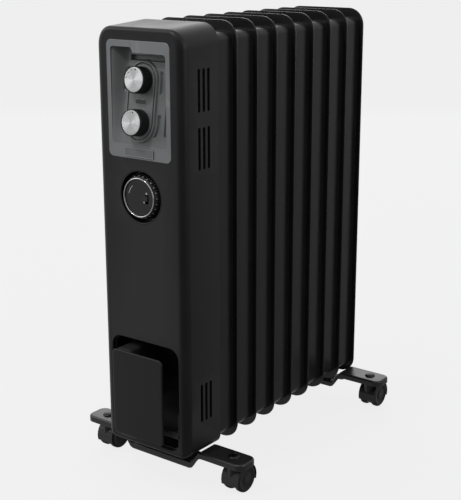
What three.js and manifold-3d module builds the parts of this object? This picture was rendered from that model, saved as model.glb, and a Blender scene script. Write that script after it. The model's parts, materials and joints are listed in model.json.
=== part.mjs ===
// Oil filled radiator heater: pressed steel fins on two oil headers, a control housing in front
// of them, and two castor feet. Millimetres, +Z up, the control panel faces -Y, the floor is Z = 0,
// and the origin is on the floor under the middle of the overall box.
import * as THREE from "three";
import { mergeVertices } from "three/addons/utils/BufferGeometryUtils.js";
import Module from "manifold-3d";

// ---- Overall ------------------------------------------------------------------------------
const HEIGHT = 640; // floor to the top edge of the fins
const JOIN_GAP = 0.2; // between two pieces that are fixed together
const RUN_GAP = 0.4; // between a piece that moves and a fixed face beside it
const BORE_GAP = 0.1; // radial, between a shaft and the bore it turns in

// ---- Fins ---------------------------------------------------------------------------------
const FIN_COUNT = 8;
const FIN_PITCH = 46.3;
const FIN_WIDTH = 143.4;
const FIN_BOTTOM = 40; // floor to the lower edge of the fins
const FIN_CORNER = 26;
const FIN_SHEET = 2;
const WING_INSET_SIDE = 8.2; // fin edge to the outside of its folded wing
const WING_INSET_END = 14;
const WING_CORNER = 11;
const WING_SHEET = 1.6;
const WING_HALF_OPENING = 36; // half the air opening between the two wings, top and bottom
const WING_GAP = 1.5; // wing edge to the fin in front of it
const OIL_WAY_SPACING = 44; // centre to centre of the two upright oil ways
const OIL_WAY_WIDTH = 24;
const OIL_WAY_HEIGHT = 6; // pressed out of each face of the fin
const OIL_WAY_SLOPE = 4; // how far each sloping side leans in
const HEADER_FROM_END = 55; // fin end to header axis
const HEADER_RADIUS = 22;
const HEADER_BORE = 17;
const HEADER_BOSS = 34.5; // pressed boss that joins the header to both oil ways

// ---- Control housing ----------------------------------------------------------------------
const HOUSING_WIDTH = 149;
const HOUSING_DEPTH = 74;
const HOUSING_BOTTOM = 52;
const HOUSING_TOP_CORNER = 26;
const HOUSING_BOTTOM_CORNER = 14;
const HOUSING_EDGE = 12; // radius round the front face at its sides
const HOUSING_LIP = 5; // the same at its top and bottom, where the rounding is shallower
const HOUSING_TOP_FALL = 5; // the top slopes down this much towards the front
const HOUSING_WALL = 2.5;
const HOUSING_TO_FIN = 0.6;
const VENT_WIDTH = 4;
const VENT_HEIGHT = 56;
const VENT_PITCH = 9.8;
const VENT_COLUMNS = 3;
const VENT_FROM_REAR = 22; // rear edge to the nearest slot's centre line
const VENT_CENTRES = [557, 481.5, 127]; // heights of the three groups

// ---- Control panel ------------------------------------------------------------------------
const FASCIA_WIDTH = 108;
const FASCIA_HEIGHT = 154;
const FASCIA_BOTTOM = 464.6;
const FASCIA_CORNER = 8;
const FASCIA_PROUD = 0.5;
const FASCIA_SHEET = 2;
const BAY_WIDTH = 94;
const BAY_BOTTOM_MARGIN = 18.4;
const BAY_TOP_MARGIN = 8.6;
const BAY_CORNER = 5;
const VISOR_DROP = 7; // the bay's top edge steps down over the knobs
const VISOR_LEFT = -8;
const PANEL_TILT = THREE.MathUtils.degToRad(8); // the knobs look up by this angle
const PANEL_CENTRE_DEPTH = 5; // plinth face behind the housing front, midway between the knobs
const PANEL_CENTRE_HEIGHT = 540.3;
const PLINTH_HEIGHT = 4;
const PLINTH_HALF_WIDTH = 26;
const PLINTH_RIM = 1.5;
const PLINTH_GROOVE_DEPTH = 2.5;
const PLINTH_INNER_HALF_WIDTH = 20.8;
const KNOB_SPACING = 55;
const KNOB_RADIUS = 17.6;
const KNOB_DEPTH = 17.6;
const KNOB_CAP_RADIUS = 16;
const KNOB_CAP_THICKNESS = 1.6;
const KNOB_CAP_SEAT = 1.2; // how deep the cap sits in the knob
const KNOB_BORE_DEPTH = 11;
const SHAFT_RADIUS = 3;
const BUSH_RADIUS = 5;
const SWITCH_SIDE = 36;
const SWITCH_DEPTH = 22;
const THERMOSTAT_RADIUS = 19;
const THERMOSTAT_DEPTH = 20;
const LENS_WIDTH = 19;
const LENS_HEIGHT = 7;
const LENS_THICKNESS = 4;
const LAMP_DEPTH = 14;
const BADGE_WIDTH = 49;
const BADGE_HEIGHT = 12;
const BADGE_THICKNESS = 1.2;
const BADGE_FROM_BOTTOM = 3.1;

// ---- Timer --------------------------------------------------------------------------------
const TIMER_HEIGHT = 414; // floor to the dial's axis
const TIMER_CUP_RADIUS = 36.4;
const TIMER_CUP_WALL = 1.8;
const TIMER_CUP_DEPTH = 9;
const TIMER_PROUD = 4.8;
const DIAL_FRONT_RADIUS = 27.8;
const DIAL_BACK_RADIUS = 31;
const DIAL_BORE = 25.2;
const DIAL_TEETH = 24; // one for each hour
const DIAL_TOOTH = 0.8;
const TRIM_RING_OUTER = 26.8;
const TRIM_RING_INNER = 24.9;
const TRIM_RING_THICKNESS = 1.2;
const TIMER_FACE_RECESS = 1.8; // timer face behind the trim ring
const TIMER_MOTOR_SIDE = 50;
const TIMER_MOTOR_DEPTH = 24;
const OVERRIDE_WIDTH = 5;
const OVERRIDE_HEIGHT = 7;
const OVERRIDE_PROUD = 1.6;
const OVERRIDE_OFFSET = 13; // to the right of the dial's axis
const OVERRIDE_TRAVEL = 3.5; // each way
const OVERRIDE_GROOVE_DEPTH = 2;

// ---- Cord wrap ----------------------------------------------------------------------------
const RECESS_WIDTH = 121;
const RECESS_BOTTOM = 61;
const RECESS_TOP = 212;
const RECESS_CORNER = 15;
const RECESS_DEPTH = 38;
const SILL_BOTTOM = 79; // bar across the recess that the wound cord rests on
const SILL_TOP = 88;
const SILL_DEPTH = 9;
const WRAP_PLATE_WIDTH = 88;
const WRAP_PLATE_BOTTOM = 70;
const WRAP_PLATE_TOP = 196;
const WRAP_PLATE_CORNER = 7;
const WRAP_PLATE_THICKNESS = 3;
const WRAP_PLATE_PROUD = 15.6;
const WRAP_POST_WIDTH = 25;
const WRAP_POST_OFFSET = -25.5;
const WRAP_POST_BOTTOM = 110;
const WRAP_POST_TOP = 199;
const GLAND_RADIUS = 7;
const GLAND_BORE = 3.8;
const GLAND_OFFSET = 38;
const GLAND_HEIGHT = 70;
const GLAND_LENGTH = 16;

// ---- Inside the housing -------------------------------------------------------------------
const SHIELD_SHEET = 1.2;
const SHIELD_SETBACK = 2; // housing rear edge to the shield's back face
const ELEMENT_ROD_RADIUS = 4.25;
const ELEMENT_ROD_SPACING = 18;
const ELEMENT_END_GAP = 40; // rod end to the last fin
const ELEMENT_FLANGE_RADIUS = 25;
const ELEMENT_FLANGE_THICKNESS = 5;
const TERMINAL_PIN_RADIUS = 2;
const TERMINAL_PIN_LENGTH = 9;
const PLUG_HEAD_RADIUS = 19;
const PLUG_HEAD_THICKNESS = 4;
const PLUG_SPIGOT_LENGTH = 10;
const CUTOUT_RADIUS = 12;
const CUTOUT_DEPTH = 9;
const CUTOUT_HEIGHT = 330;
const TERMINAL_BLOCK = { width: 44, depth: 16, height: 22, x: 0, z: 232 };
const TIP_SWITCH = { width: 22, depth: 16, height: 30, x: -44, z: 250 };
const LOOM_RADIUS = 3.5;
const LOOM_OFFSET = 46;

// ---- Feet ---------------------------------------------------------------------------------
const FOOT_SPAN = 290;
const FOOT_WIDTH = 38;
const FOOT_TOP = 54;
const FOOT_FLANGE = 9.5; // height of the folded edge
const FOOT_SHEET = 2;
const FOOT_CORNER = 12;
const FOOT_DIP = 21; // the middle sits this much lower than the arms
const FOOT_DIP_HALF = 56; // half the flat length of the dip
const FOOT_RAMP = 24; // length of the curved rise at each end of the dip
const FRONT_FOOT_DEPTH = 47; // housing front to the foot's centre line
const BRACKET_SHEET = 2.5;
const BRACKET_HALF_WIDTH = 22;
const FOOT_SCREW_RADIUS = 3;
const FOOT_SCREW_SPACING = 28;
const U_BOLT_RADIUS = 3;
const U_BOLT_GAP = 1; // bolt to header
const WING_NUT_HEIGHT = 8;

// ---- Castors ------------------------------------------------------------------------------
const CASTOR_SPAN = 236; // left swivel axis to right swivel axis
const CASTOR_TRAIL = 12; // wheel axle behind the swivel axis
const WHEEL_RADIUS = 20;
const WHEEL_WIDTH = 9;
const WHEEL_EDGE = 2.5;
const WHEEL_SIDES = 20; // flats round the tread, one of them on the floor
const CASTOR_WEB = 10; // width of the fork body between the two wheels
const AXLE_RADIUS = 3;
const STEM_RADIUS = 4;
const STEM_HEAD_RADIUS = 8;
const STEM_HEAD_HEIGHT = 3;
const STEM_BOTTOM = 27;
const FORK_BOSS_RADIUS = 9;
const FORK_TOP_CLEARANCE = 0.8; // under the foot's flange
const FORK_RADIUS = 17.5;
const HOOD_CLEARANCE = 0.7; // wheel tread to the hood over it
const HOOD_WALL = 1.2;
const HOOD_LOW = 13; // floor to the hood's lower edge

// ---- Derived places -----------------------------------------------------------------------
const WING_DEPTH = FIN_PITCH - FIN_SHEET - WING_GAP;
const FIRST_FIN = HOUSING_DEPTH + HOUSING_TO_FIN + WING_DEPTH; // front face of the first fin
const LAST_FIN = FIRST_FIN + (FIN_COUNT - 1) * FIN_PITCH;
const REAR_FOOT_DEPTH = LAST_FIN - FIN_PITCH / 2 - FIN_SHEET / 2;
const HEADER_LOW = FIN_BOTTOM + HEADER_FROM_END;
const HEADER_HIGH = HEIGHT - HEADER_FROM_END;
const HALF_HOUSING = HOUSING_WIDTH / 2;
const SHIELD_FRONT = HOUSING_DEPTH - SHIELD_SETBACK - SHIELD_SHEET;
const FASCIA_TOP = FASCIA_BOTTOM + FASCIA_HEIGHT;
const DIP_TOP = FOOT_TOP - FOOT_DIP;
const WHEEL_OVER_FLATS = WHEEL_RADIUS / Math.cos(Math.PI / WHEEL_SIDES);

const wasm = await Module();
wasm.setup();

// ---- Solid helpers ------------------------------------------------------------------------

// A closed three.js geometry as a solid that can be joined and cut.
function solid(geometry) {
  const bare = geometry.index ? geometry.toNonIndexed() : geometry.clone();
  bare.deleteAttribute("normal");
  bare.deleteAttribute("uv");
  const merged = mergeVertices(bare, 1e-4);
  const vertProperties = merged.attributes.position.array;
  const triVerts = new Uint32Array(merged.index.array);
  return new wasm.Manifold(new wasm.Mesh({ numProp: 3, vertProperties, triVerts }));
}

// A solid back as a geometry with its own normals.
function geometryOf(body) {
  const mesh = body.getMesh();
  const positions = new Float32Array(mesh.numVert * 3);
  for (let i = 0; i < mesh.numVert; i++) {
    const start = i * mesh.numProp;
    positions.set(mesh.vertProperties.subarray(start, start + 3), i * 3);
  }
  const geometry = new THREE.BufferGeometry();
  geometry.setAttribute("position", new THREE.BufferAttribute(positions, 3));
  geometry.setIndex(new THREE.BufferAttribute(new Uint32Array(mesh.triVerts), 1));
  geometry.computeVertexNormals();
  return geometry;
}

const join = (...bodies) => bodies.reduce((all, next) => all.add(next));
const cut = (body, ...tools) => tools.reduce((left, tool) => left.subtract(tool), body);

// A rectangle with round corners, one radius below and one above.
function roundedRectangle(x0, x1, y0, y1, lower, upper = lower) {
  const shape = new THREE.Shape();
  const quarter = Math.PI / 2;
  shape.absarc(x1 - lower, y0 + lower, lower, -quarter, 0, false);
  shape.absarc(x1 - upper, y1 - upper, upper, 0, quarter, false);
  shape.absarc(x0 + upper, y1 - upper, upper, quarter, Math.PI, false);
  shape.absarc(x0 + lower, y0 + lower, lower, Math.PI, 3 * quarter, false);
  return shape;
}

function polygon(points) {
  return new THREE.Shape(points.map(([x, y]) => new THREE.Vector2(x, y)));
}

// A shape drawn in X and Z, extruded along Y from front to back. Each arc gets twice as many
// straight pieces as curveSegments.
function slabY(shape, front, back, curveSegments = 3) {
  const depth = back - front;
  const geometry = new THREE.ExtrudeGeometry(shape, { depth, bevelEnabled: false, curveSegments });
  geometry.rotateX(Math.PI / 2);
  geometry.translate(0, back, 0);
  return solid(geometry);
}

// A shape drawn in X and Y, extruded along Z from bottom to top.
function slabZ(shape, bottom, top, curveSegments = 3) {
  const depth = top - bottom;
  const geometry = new THREE.ExtrudeGeometry(shape, { depth, bevelEnabled: false, curveSegments });
  geometry.translate(0, 0, bottom);
  return solid(geometry);
}

// A shape drawn in Y and Z, extruded along X from left to right.
function slabX(shape, left, right, curveSegments = 3) {
  const depth = right - left;
  const geometry = new THREE.ExtrudeGeometry(shape, { depth, bevelEnabled: false, curveSegments });
  const yAxis = new THREE.Vector3(0, 1, 0);
  const zAxis = new THREE.Vector3(0, 0, 1);
  const xAxis = new THREE.Vector3(1, 0, 0);
  geometry.applyMatrix4(new THREE.Matrix4().makeBasis(yAxis, zAxis, xAxis));
  geometry.translate(left, 0, 0);
  return solid(geometry);
}

function box(x0, x1, y0, y1, z0, z1) {
  const geometry = new THREE.BoxGeometry(x1 - x0, y1 - y0, z1 - z0);
  geometry.translate((x0 + x1) / 2, (y0 + y1) / 2, (z0 + z1) / 2);
  return solid(geometry);
}

// A round bar along Y, from front to back, about the line x, z.
function barY(radius, front, back, x, z, segments = 16) {
  const geometry = new THREE.CylinderGeometry(radius, radius, back - front, segments);
  geometry.translate(x, (front + back) / 2, z);
  return solid(geometry);
}

function barX(radius, left, right, y, z, segments = 16) {
  const geometry = new THREE.CylinderGeometry(radius, radius, right - left, segments);
  geometry.rotateZ(Math.PI / 2);
  geometry.translate((left + right) / 2, y, z);
  return solid(geometry);
}

function barZ(radius, bottom, top, x, y, segments = 16) {
  const geometry = new THREE.CylinderGeometry(radius, radius, top - bottom, segments);
  geometry.rotateX(Math.PI / 2);
  geometry.translate(x, y, (bottom + top) / 2);
  return solid(geometry);
}

// A turned piece about Z: the profile lists radius and height, upwards round the outside.
function turned(profile, segments = 24) {
  const points = profile.map(([radius, height]) => new THREE.Vector2(radius, height));
  const geometry = new THREE.LatheGeometry(points, segments);
  geometry.rotateX(Math.PI / 2);
  return solid(geometry);
}

// A solid whose skin runs through rings of equally many points, with flat convex ends.
function loft(rings) {
  const count = rings[0].length;
  const positions = rings.flat().flatMap((point) => point.toArray());
  const indices = [];
  for (let r = 0; r + 1 < rings.length; r++) {
    for (let i = 0; i < count; i++) {
      const a = r * count + i;
      const b = r * count + ((i + 1) % count);
      indices.push(a, b, b + count, a, b + count, a + count);
    }
  }
  const last = (rings.length - 1) * count;
  for (let i = 1; i + 1 < count; i++) {
    indices.push(0, i + 1, i);
    indices.push(last, last + i, last + i + 1);
  }
  const geometry = new THREE.BufferGeometry();
  geometry.setAttribute("position", new THREE.Float32BufferAttribute(positions, 3));
  geometry.setIndex(indices);
  return solid(geometry);
}

// The points of a shape, placed at one depth Y.
function ringAt(shape, depth, segments) {
  const flat = shape.getPoints(segments);
  return flat.map((point) => new THREE.Vector3(point.x, depth, point.y)).reverse();
}

// ---- The scene graph ----------------------------------------------------------------------
const radiator = new THREE.Group();

function paint(color, roughness, metalness) {
  return new THREE.MeshStandardMaterial({ color, roughness, metalness });
}

const PAINT = {
  fin: () => paint("#232325", 0.38, 0.1),
  housing: () => paint("#262628", 0.42, 0),
  fascia: () => paint("#626466", 0.45, 0),
  black: () => paint("#121213", 0.5, 0),
  aluminium: () => paint("#c9cacb", 0.28, 1),
  zinc: () => paint("#9a9ca0", 0.4, 1),
  lens: () => paint("#2a1510", 0.2, 0),
  rubber: () => paint("#1c1c1e", 0.7, 0),
  brass: () => paint("#b08d4a", 0.4, 1),
};

function add(name, body, material, parent = radiator) {
  const mesh = new THREE.Mesh(geometryOf(body), material);
  mesh.name = name;
  parent.add(mesh);
  return mesh;
}

// ---- Fins ---------------------------------------------------------------------------------

// The outline of one folded wing in X and Z: a thin strip down the side with turned-in ends.
function wingOutline() {
  const outer = FIN_WIDTH / 2 - WING_INSET_SIDE;
  const top = HEIGHT - WING_INSET_END;
  const bottom = FIN_BOTTOM + WING_INSET_END;
  const inner = WING_CORNER - WING_SHEET;
  const bendX = outer - WING_CORNER;
  const quarter = Math.PI / 2;
  const shape = new THREE.Shape();
  shape.moveTo(WING_HALF_OPENING, bottom);
  shape.absarc(bendX, bottom + WING_CORNER, WING_CORNER, -quarter, 0, false);
  shape.absarc(bendX, top - WING_CORNER, WING_CORNER, 0, quarter, false);
  shape.lineTo(WING_HALF_OPENING, top);
  shape.lineTo(WING_HALF_OPENING, top - WING_SHEET);
  shape.absarc(bendX, top - WING_CORNER, inner, quarter, 0, true);
  shape.absarc(bendX, bottom + WING_CORNER, inner, 0, -quarter, true);
  shape.lineTo(WING_HALF_OPENING, bottom + WING_SHEET);
  return shape;
}

// Section of a pressed way or boss on one side of its middle: flat faces with sloping sides.
function pressedProfile(reach, front) {
  return [
    [reach - OIL_WAY_SLOPE, front - OIL_WAY_HEIGHT],
    [reach, front + FIN_SHEET / 2],
    [reach - OIL_WAY_SLOPE, front + FIN_SHEET + OIL_WAY_HEIGHT],
  ];
}

// An upright oil way that stands out of both faces of the sheet.
function oilWay(x, front) {
  const right = pressedProfile(OIL_WAY_WIDTH / 2, front);
  const left = right.map(([reach, y]) => [-reach, y]).reverse();
  const section = polygon([...right, ...left].map(([reach, y]) => [x + reach, y]));
  return slabZ(section, HEADER_LOW, HEADER_HIGH);
}

// A round boss about Y that joins the header to both oil ways.
function headerBoss(z, front) {
  const side = pressedProfile(HEADER_BOSS, 0);
  const last = side.length - 1;
  const boss = turned([[0, side[0][1]], ...side, [0, side[last][1]]], 10);
  const placed = new THREE.Matrix4().makeRotationX(-Math.PI / 2).setPosition(0, front, z);
  return boss.transform(placed.toArray());
}

function makeFin(index) {
  const front = FIRST_FIN + index * FIN_PITCH;
  const back = front + FIN_SHEET;
  const half = FIN_WIDTH / 2;
  const sheet = slabY(roundedRectangle(-half, half, FIN_BOTTOM, HEIGHT, FIN_CORNER), front, back);
  const pieces = [sheet];
  const wing = slabY(wingOutline(), front - WING_DEPTH, front + FIN_SHEET / 2, 2);
  pieces.push(wing, wing.mirror([1, 0, 0]));
  for (const side of [-1, 1]) {
    pieces.push(oilWay((side * OIL_WAY_SPACING) / 2, front));
  }
  const collarFront =
    index === 0
      ? HOUSING_DEPTH + HOUSING_TO_FIN
      : front - FIN_PITCH + FIN_SHEET + OIL_WAY_HEIGHT + JOIN_GAP;
  for (const z of [HEADER_LOW, HEADER_HIGH]) {
    pieces.push(headerBoss(z, front));
    pieces.push(barY(HEADER_RADIUS, collarFront, front, 0, z, 10));
  }
  const isLast = index === FIN_COUNT - 1;
  const boreEnd = isLast ? front : back + OIL_WAY_HEIGHT + 1;
  const bores = [HEADER_LOW, HEADER_HIGH].map((z) =>
    barY(HEADER_BORE, collarFront - 1, boreEnd, 0, z, 10),
  );
  add(`fin_${index + 1}`, cut(join(...pieces), ...bores), PAINT.fin());
}

// The filler plug closes the upper header and the heating element closes the lower one.
function makeHeaderFittings() {
  const frontFace = HOUSING_DEPTH + HOUSING_TO_FIN;
  const headBack = frontFace - JOIN_GAP;
  const headFront = headBack - PLUG_HEAD_THICKNESS;
  const spigotEnd = frontFace + PLUG_SPIGOT_LENGTH;
  const head = barY(PLUG_HEAD_RADIUS, headFront, headBack, 0, HEADER_HIGH, 6);
  const spigot = barY(HEADER_BORE - JOIN_GAP, headBack - 1, spigotEnd, 0, HEADER_HIGH, 10);
  add("oil_filler_plug", join(head, spigot), PAINT.zinc());

  const flangeBack = frontFace - JOIN_GAP;
  const flangeFront = flangeBack - ELEMENT_FLANGE_THICKNESS;
  const rodEnd = LAST_FIN - ELEMENT_END_GAP;
  const half = ELEMENT_ROD_SPACING / 2;
  const bend = box(-half, half, rodEnd - 2 * ELEMENT_ROD_RADIUS, rodEnd, HEADER_LOW - 4, HEADER_LOW + 4);
  const parts = [barY(ELEMENT_FLANGE_RADIUS, flangeFront, flangeBack, 0, HEADER_LOW, 24), bend];
  for (const x of [-half, half]) {
    parts.push(barY(ELEMENT_ROD_RADIUS, flangeFront + 1, rodEnd, x, HEADER_LOW, 12));
    const pinFront = flangeFront - TERMINAL_PIN_LENGTH;
    parts.push(barY(TERMINAL_PIN_RADIUS, pinFront, flangeFront + 1, x, HEADER_LOW, 10));
  }
  add("heating_element", join(...parts), PAINT.zinc());
}

// ---- Control housing ----------------------------------------------------------------------

// The housing's outline, drawn in by inset, with its top lowered towards the front.
function housingRing(inset, rise, depth) {
  const half = HALF_HOUSING - inset;
  const lower = Math.max(HOUSING_BOTTOM_CORNER - inset, 1);
  const upper = Math.max(HOUSING_TOP_CORNER - inset, 1);
  const z0 = HOUSING_BOTTOM + rise;
  const z1 = HEIGHT - rise;
  const ring = ringAt(roundedRectangle(-half, half, z0, z1, lower, upper), depth, 3);
  const fall = HOUSING_TOP_FALL * (1 - depth / HOUSING_DEPTH);
  for (const point of ring) {
    point.z -= (fall * (point.z - z0)) / (z1 - z0);
  }
  return ring;
}

// The rounded block that the housing is cut from: offset 0 is its outside.
function housingBlock(offset, back) {
  const edge = HOUSING_EDGE - offset;
  const lip = HOUSING_LIP - offset;
  const rings = [];
  for (const degrees of [0, 20, 40, 65, 90]) {
    const angle = THREE.MathUtils.degToRad(degrees);
    const depth = offset + edge * (1 - Math.cos(angle));
    const turned = 1 - Math.sin(angle);
    rings.push(housingRing(offset + edge * turned, offset + lip * turned, depth));
  }
  rings.push(housingRing(offset, offset, back));
  return loft(rings);
}

function ventSlots() {
  const slots = [];
  const outside = HALF_HOUSING + 1;
  const inside = HALF_HOUSING - HOUSING_WALL - 1;
  for (const centre of VENT_CENTRES) {
    for (let column = 0; column < VENT_COLUMNS; column++) {
      const y = HOUSING_DEPTH - VENT_FROM_REAR - column * VENT_PITCH;
      const y0 = y - VENT_WIDTH / 2;
      const y1 = y + VENT_WIDTH / 2;
      const z0 = centre - VENT_HEIGHT / 2;
      const z1 = centre + VENT_HEIGHT / 2;
      slots.push(box(inside, outside, y0, y1, z0, z1), box(-outside, -inside, y0, y1, z0, z1));
    }
  }
  return slots;
}

function fasciaOutline(grow, z0 = FASCIA_BOTTOM, z1 = FASCIA_TOP, width = FASCIA_WIDTH) {
  const half = width / 2 + grow;
  return roundedRectangle(-half, half, z0 - grow, z1 + grow, FASCIA_CORNER + grow);
}

const BAY = {
  half: BAY_WIDTH / 2,
  bottom: FASCIA_BOTTOM + BAY_BOTTOM_MARGIN,
  top: FASCIA_TOP - BAY_TOP_MARGIN,
};

function recessOutline(grow) {
  const half = RECESS_WIDTH / 2 + grow;
  return roundedRectangle(-half, half, RECESS_BOTTOM - grow, RECESS_TOP + grow, RECESS_CORNER + grow);
}

function makeHousing() {
  const outer = housingBlock(0, HOUSING_DEPTH);
  const inner = housingBlock(HOUSING_WALL, HOUSING_DEPTH + 1);
  const seatBack = FASCIA_SHEET - FASCIA_PROUD + JOIN_GAP;
  const pad = slabY(fasciaOutline(4), 1, seatBack + 2);
  const tub = slabY(recessOutline(HOUSING_WALL), 1, RECESS_DEPTH + HOUSING_WALL);
  const half = RECESS_WIDTH / 2 + 1;
  const sill = box(-half, half, 1, SILL_DEPTH, SILL_BOTTOM, SILL_TOP);
  const trayHalf = BAY.half + FASCIA_SHEET + JOIN_GAP;
  const trayBottom = BAY.bottom - FASCIA_SHEET - JOIN_GAP;
  const trayTop = BAY.top + FASCIA_SHEET + JOIN_GAP;
  let body = join(cut(outer, inner), pad.intersect(outer), tub.intersect(outer));
  body = cut(
    body,
    slabY(fasciaOutline(JOIN_GAP), -1, seatBack),
    box(-trayHalf, trayHalf, -1, seatBack + 3, trayBottom, trayTop),
    barY(TIMER_CUP_RADIUS + JOIN_GAP, -1, HOUSING_WALL + 1, 0, TIMER_HEIGHT, 32),
    slabY(recessOutline(0), -1, RECESS_DEPTH),
    glandBore(GLAND_RADIUS + JOIN_GAP),
    bracketNotch(),
    ...ventSlots(),
  );
  add("control_housing", body.add(sill), PAINT.housing());
}

function glandBore(radius) {
  const back = RECESS_DEPTH + HOUSING_WALL + 1;
  return barY(radius, RECESS_DEPTH - 1, back, GLAND_OFFSET, GLAND_HEIGHT);
}

// Notch in the rear of the housing's floor that the front foot's bracket rises through.
function bracketNotch() {
  const half = BRACKET_HALF_WIDTH + 1;
  const front = SHIELD_FRONT + SHIELD_SHEET - 0.5;
  return box(-half, half, front, HOUSING_DEPTH + 1, HOUSING_BOTTOM - 1, HOUSING_BOTTOM + 5);
}

// Rear cover of the housing: keeps the fins' heat from the controls.
function makeHeatShield() {
  const inset = HOUSING_WALL + JOIN_GAP + 0.3;
  const ringFront = housingRing(inset, inset, SHIELD_FRONT);
  const ringBack = housingRing(inset, inset, SHIELD_FRONT + SHIELD_SHEET);
  const back = SHIELD_FRONT + SHIELD_SHEET + 1;
  const element = barY(ELEMENT_FLANGE_RADIUS + 1, SHIELD_FRONT - 1, back, 0, HEADER_LOW);
  const filler = barY(PLUG_HEAD_RADIUS + 1, SHIELD_FRONT - 1, back, 0, HEADER_HIGH);
  const air = [180, 300, 420].map((z) =>
    slabY(roundedRectangle(-30, 30, z, z + 60, 8), SHIELD_FRONT - 1, back, 1),
  );
  add("heat_shield", cut(loft([ringFront, ringBack]), element, filler, ...air), PAINT.zinc());
}

// ---- Control panel ------------------------------------------------------------------------

// The knobs' own frame: its Z looks out of the panel along a knob's axis, its Y goes up the panel.
const panelFrame = new THREE.Group();
panelFrame.position.set(0, PANEL_CENTRE_DEPTH, PANEL_CENTRE_HEIGHT);
panelFrame.rotation.x = Math.PI / 2 - PANEL_TILT;
panelFrame.updateMatrix();
radiator.add(panelFrame);

const inPanel = (body) => body.transform(panelFrame.matrix.toArray());

// Depth of a plane parallel to the plinth face, set back by offset, at one height.
function panelDepth(offset, z) {
  const up = (z - PANEL_CENTRE_HEIGHT + offset * Math.sin(PANEL_TILT)) / Math.cos(PANEL_TILT);
  return PANEL_CENTRE_DEPTH + offset * Math.cos(PANEL_TILT) + up * Math.sin(PANEL_TILT);
}

// A wedge under the sloping floor, as wide as half on each side.
function bayWedge(half, front, offset, z0, z1) {
  const profile = polygon([
    [front, z0],
    [panelDepth(offset, z0), z0],
    [panelDepth(offset, z1), z1],
    [front, z1],
  ]);
  return slabX(profile, -half, half);
}

// The bay's opening, with its top edge stepped down over the knobs.
function bayOpening() {
  const visor = BAY.top - VISOR_DROP;
  const half = BAY.half;
  const full = roundedRectangle(-half, half, BAY.bottom, visor, BAY_CORNER);
  const left = roundedRectangle(-half, VISOR_LEFT, BAY.bottom + 40, BAY.top, 3, BAY_CORNER);
  return slabY(full, -5, 60, 2).add(slabY(left, -5, 60, 2));
}

function stadium(halfWidth) {
  const reach = KNOB_SPACING / 2 + halfWidth;
  return roundedRectangle(-halfWidth, halfWidth, -reach, reach, halfWidth);
}

function plinth() {
  const base = slabZ(stadium(PLINTH_HALF_WIDTH), -PLINTH_HEIGHT - 1, 0, 4);
  const groove = slabZ(stadium(PLINTH_HALF_WIDTH - PLINTH_RIM), -PLINTH_GROOVE_DEPTH, 1, 4);
  const island = slabZ(stadium(PLINTH_INNER_HALF_WIDTH), -PLINTH_HEIGHT, 0, 4);
  return join(cut(base, groove), island);
}

function makeFascia() {
  const front = -FASCIA_PROUD;
  const frame = slabY(fasciaOutline(0), front, front + FASCIA_SHEET);
  const z0 = BAY.bottom - FASCIA_SHEET;
  const z1 = BAY.top + FASCIA_SHEET;
  const floorBack = PLINTH_HEIGHT + FASCIA_SHEET;
  const tray = bayWedge(BAY.half + FASCIA_SHEET, front + 1, floorBack, z0, z1);
  const hollow = bayWedge(BAY.half + 5, -4, PLINTH_HEIGHT, BAY.bottom - 5, BAY.top + 5);
  const opening = bayOpening().intersect(hollow);
  const holes = [-1, 1].map((side) =>
    barZ(BUSH_RADIUS + JOIN_GAP, -20, 5, 0, (side * KNOB_SPACING) / 2),
  );
  const lensHalf = LENS_WIDTH / 2 + JOIN_GAP;
  const lensHigh = LENS_HEIGHT / 2 + JOIN_GAP;
  const lensHole = slabZ(roundedRectangle(-lensHalf, lensHalf, -lensHigh, lensHigh, 2), -20, 5, 1);
  const body = join(cut(frame.add(tray), opening), inPanel(plinth()));
  add("control_fascia", cut(body, ...[...holes, lensHole].map(inPanel)), PAINT.fascia());

  const badgeZ = FASCIA_BOTTOM + BADGE_FROM_BOTTOM;
  const badge = roundedRectangle(-BADGE_WIDTH / 2, BADGE_WIDTH / 2, badgeZ, badgeZ + BADGE_HEIGHT, 1);
  const badgeBack = front - JOIN_GAP;
  add("badge_plate", slabY(badge, badgeBack - BADGE_THICKNESS, badgeBack, 1), PAINT.aluminium());
}

// One knob with its cap and shaft, about the panel axis at height y.
function makeKnob(name, shaftName, y) {
  const back = RUN_GAP;
  const faceZ = back + KNOB_DEPTH;
  const seatZ = faceZ - KNOB_CAP_SEAT;
  const body = turned([
    [0, back],
    [KNOB_RADIUS, back],
    [KNOB_RADIUS, faceZ - 1],
    [KNOB_RADIUS - 1, faceZ],
    [KNOB_CAP_RADIUS + JOIN_GAP, faceZ],
    [KNOB_CAP_RADIUS + JOIN_GAP, seatZ],
    [0, seatZ],
  ], 24);
  const bore = barZ(SHAFT_RADIUS + JOIN_GAP, back - 1, back + KNOB_BORE_DEPTH, 0, 0, 12);
  const counterbore = barZ(BUSH_RADIUS + RUN_GAP, back - 1, back + 3, 0, 0, 12);
  const knob = add(`${name}_knob`, cut(body, bore, counterbore), PAINT.black(), panelFrame);
  knob.position.y = y;

  const capZ = seatZ + JOIN_GAP;
  const cap = turned([
    [0, capZ],
    [KNOB_CAP_RADIUS, capZ],
    [KNOB_CAP_RADIUS, capZ + KNOB_CAP_THICKNESS - 0.4],
    [KNOB_CAP_RADIUS - 0.4, capZ + KNOB_CAP_THICKNESS],
    [0, capZ + KNOB_CAP_THICKNESS],
  ], 24);
  add(`${name}_knob_cap`, cap, PAINT.aluminium(), panelFrame).position.y = y;

  const floorBack = -PLINTH_HEIGHT - FASCIA_SHEET;
  const shaft = barZ(SHAFT_RADIUS, floorBack - 8, back + KNOB_BORE_DEPTH - 0.5, 0, 0);
  add(shaftName, shaft, PAINT.zinc(), panelFrame).position.y = y;
}

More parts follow.
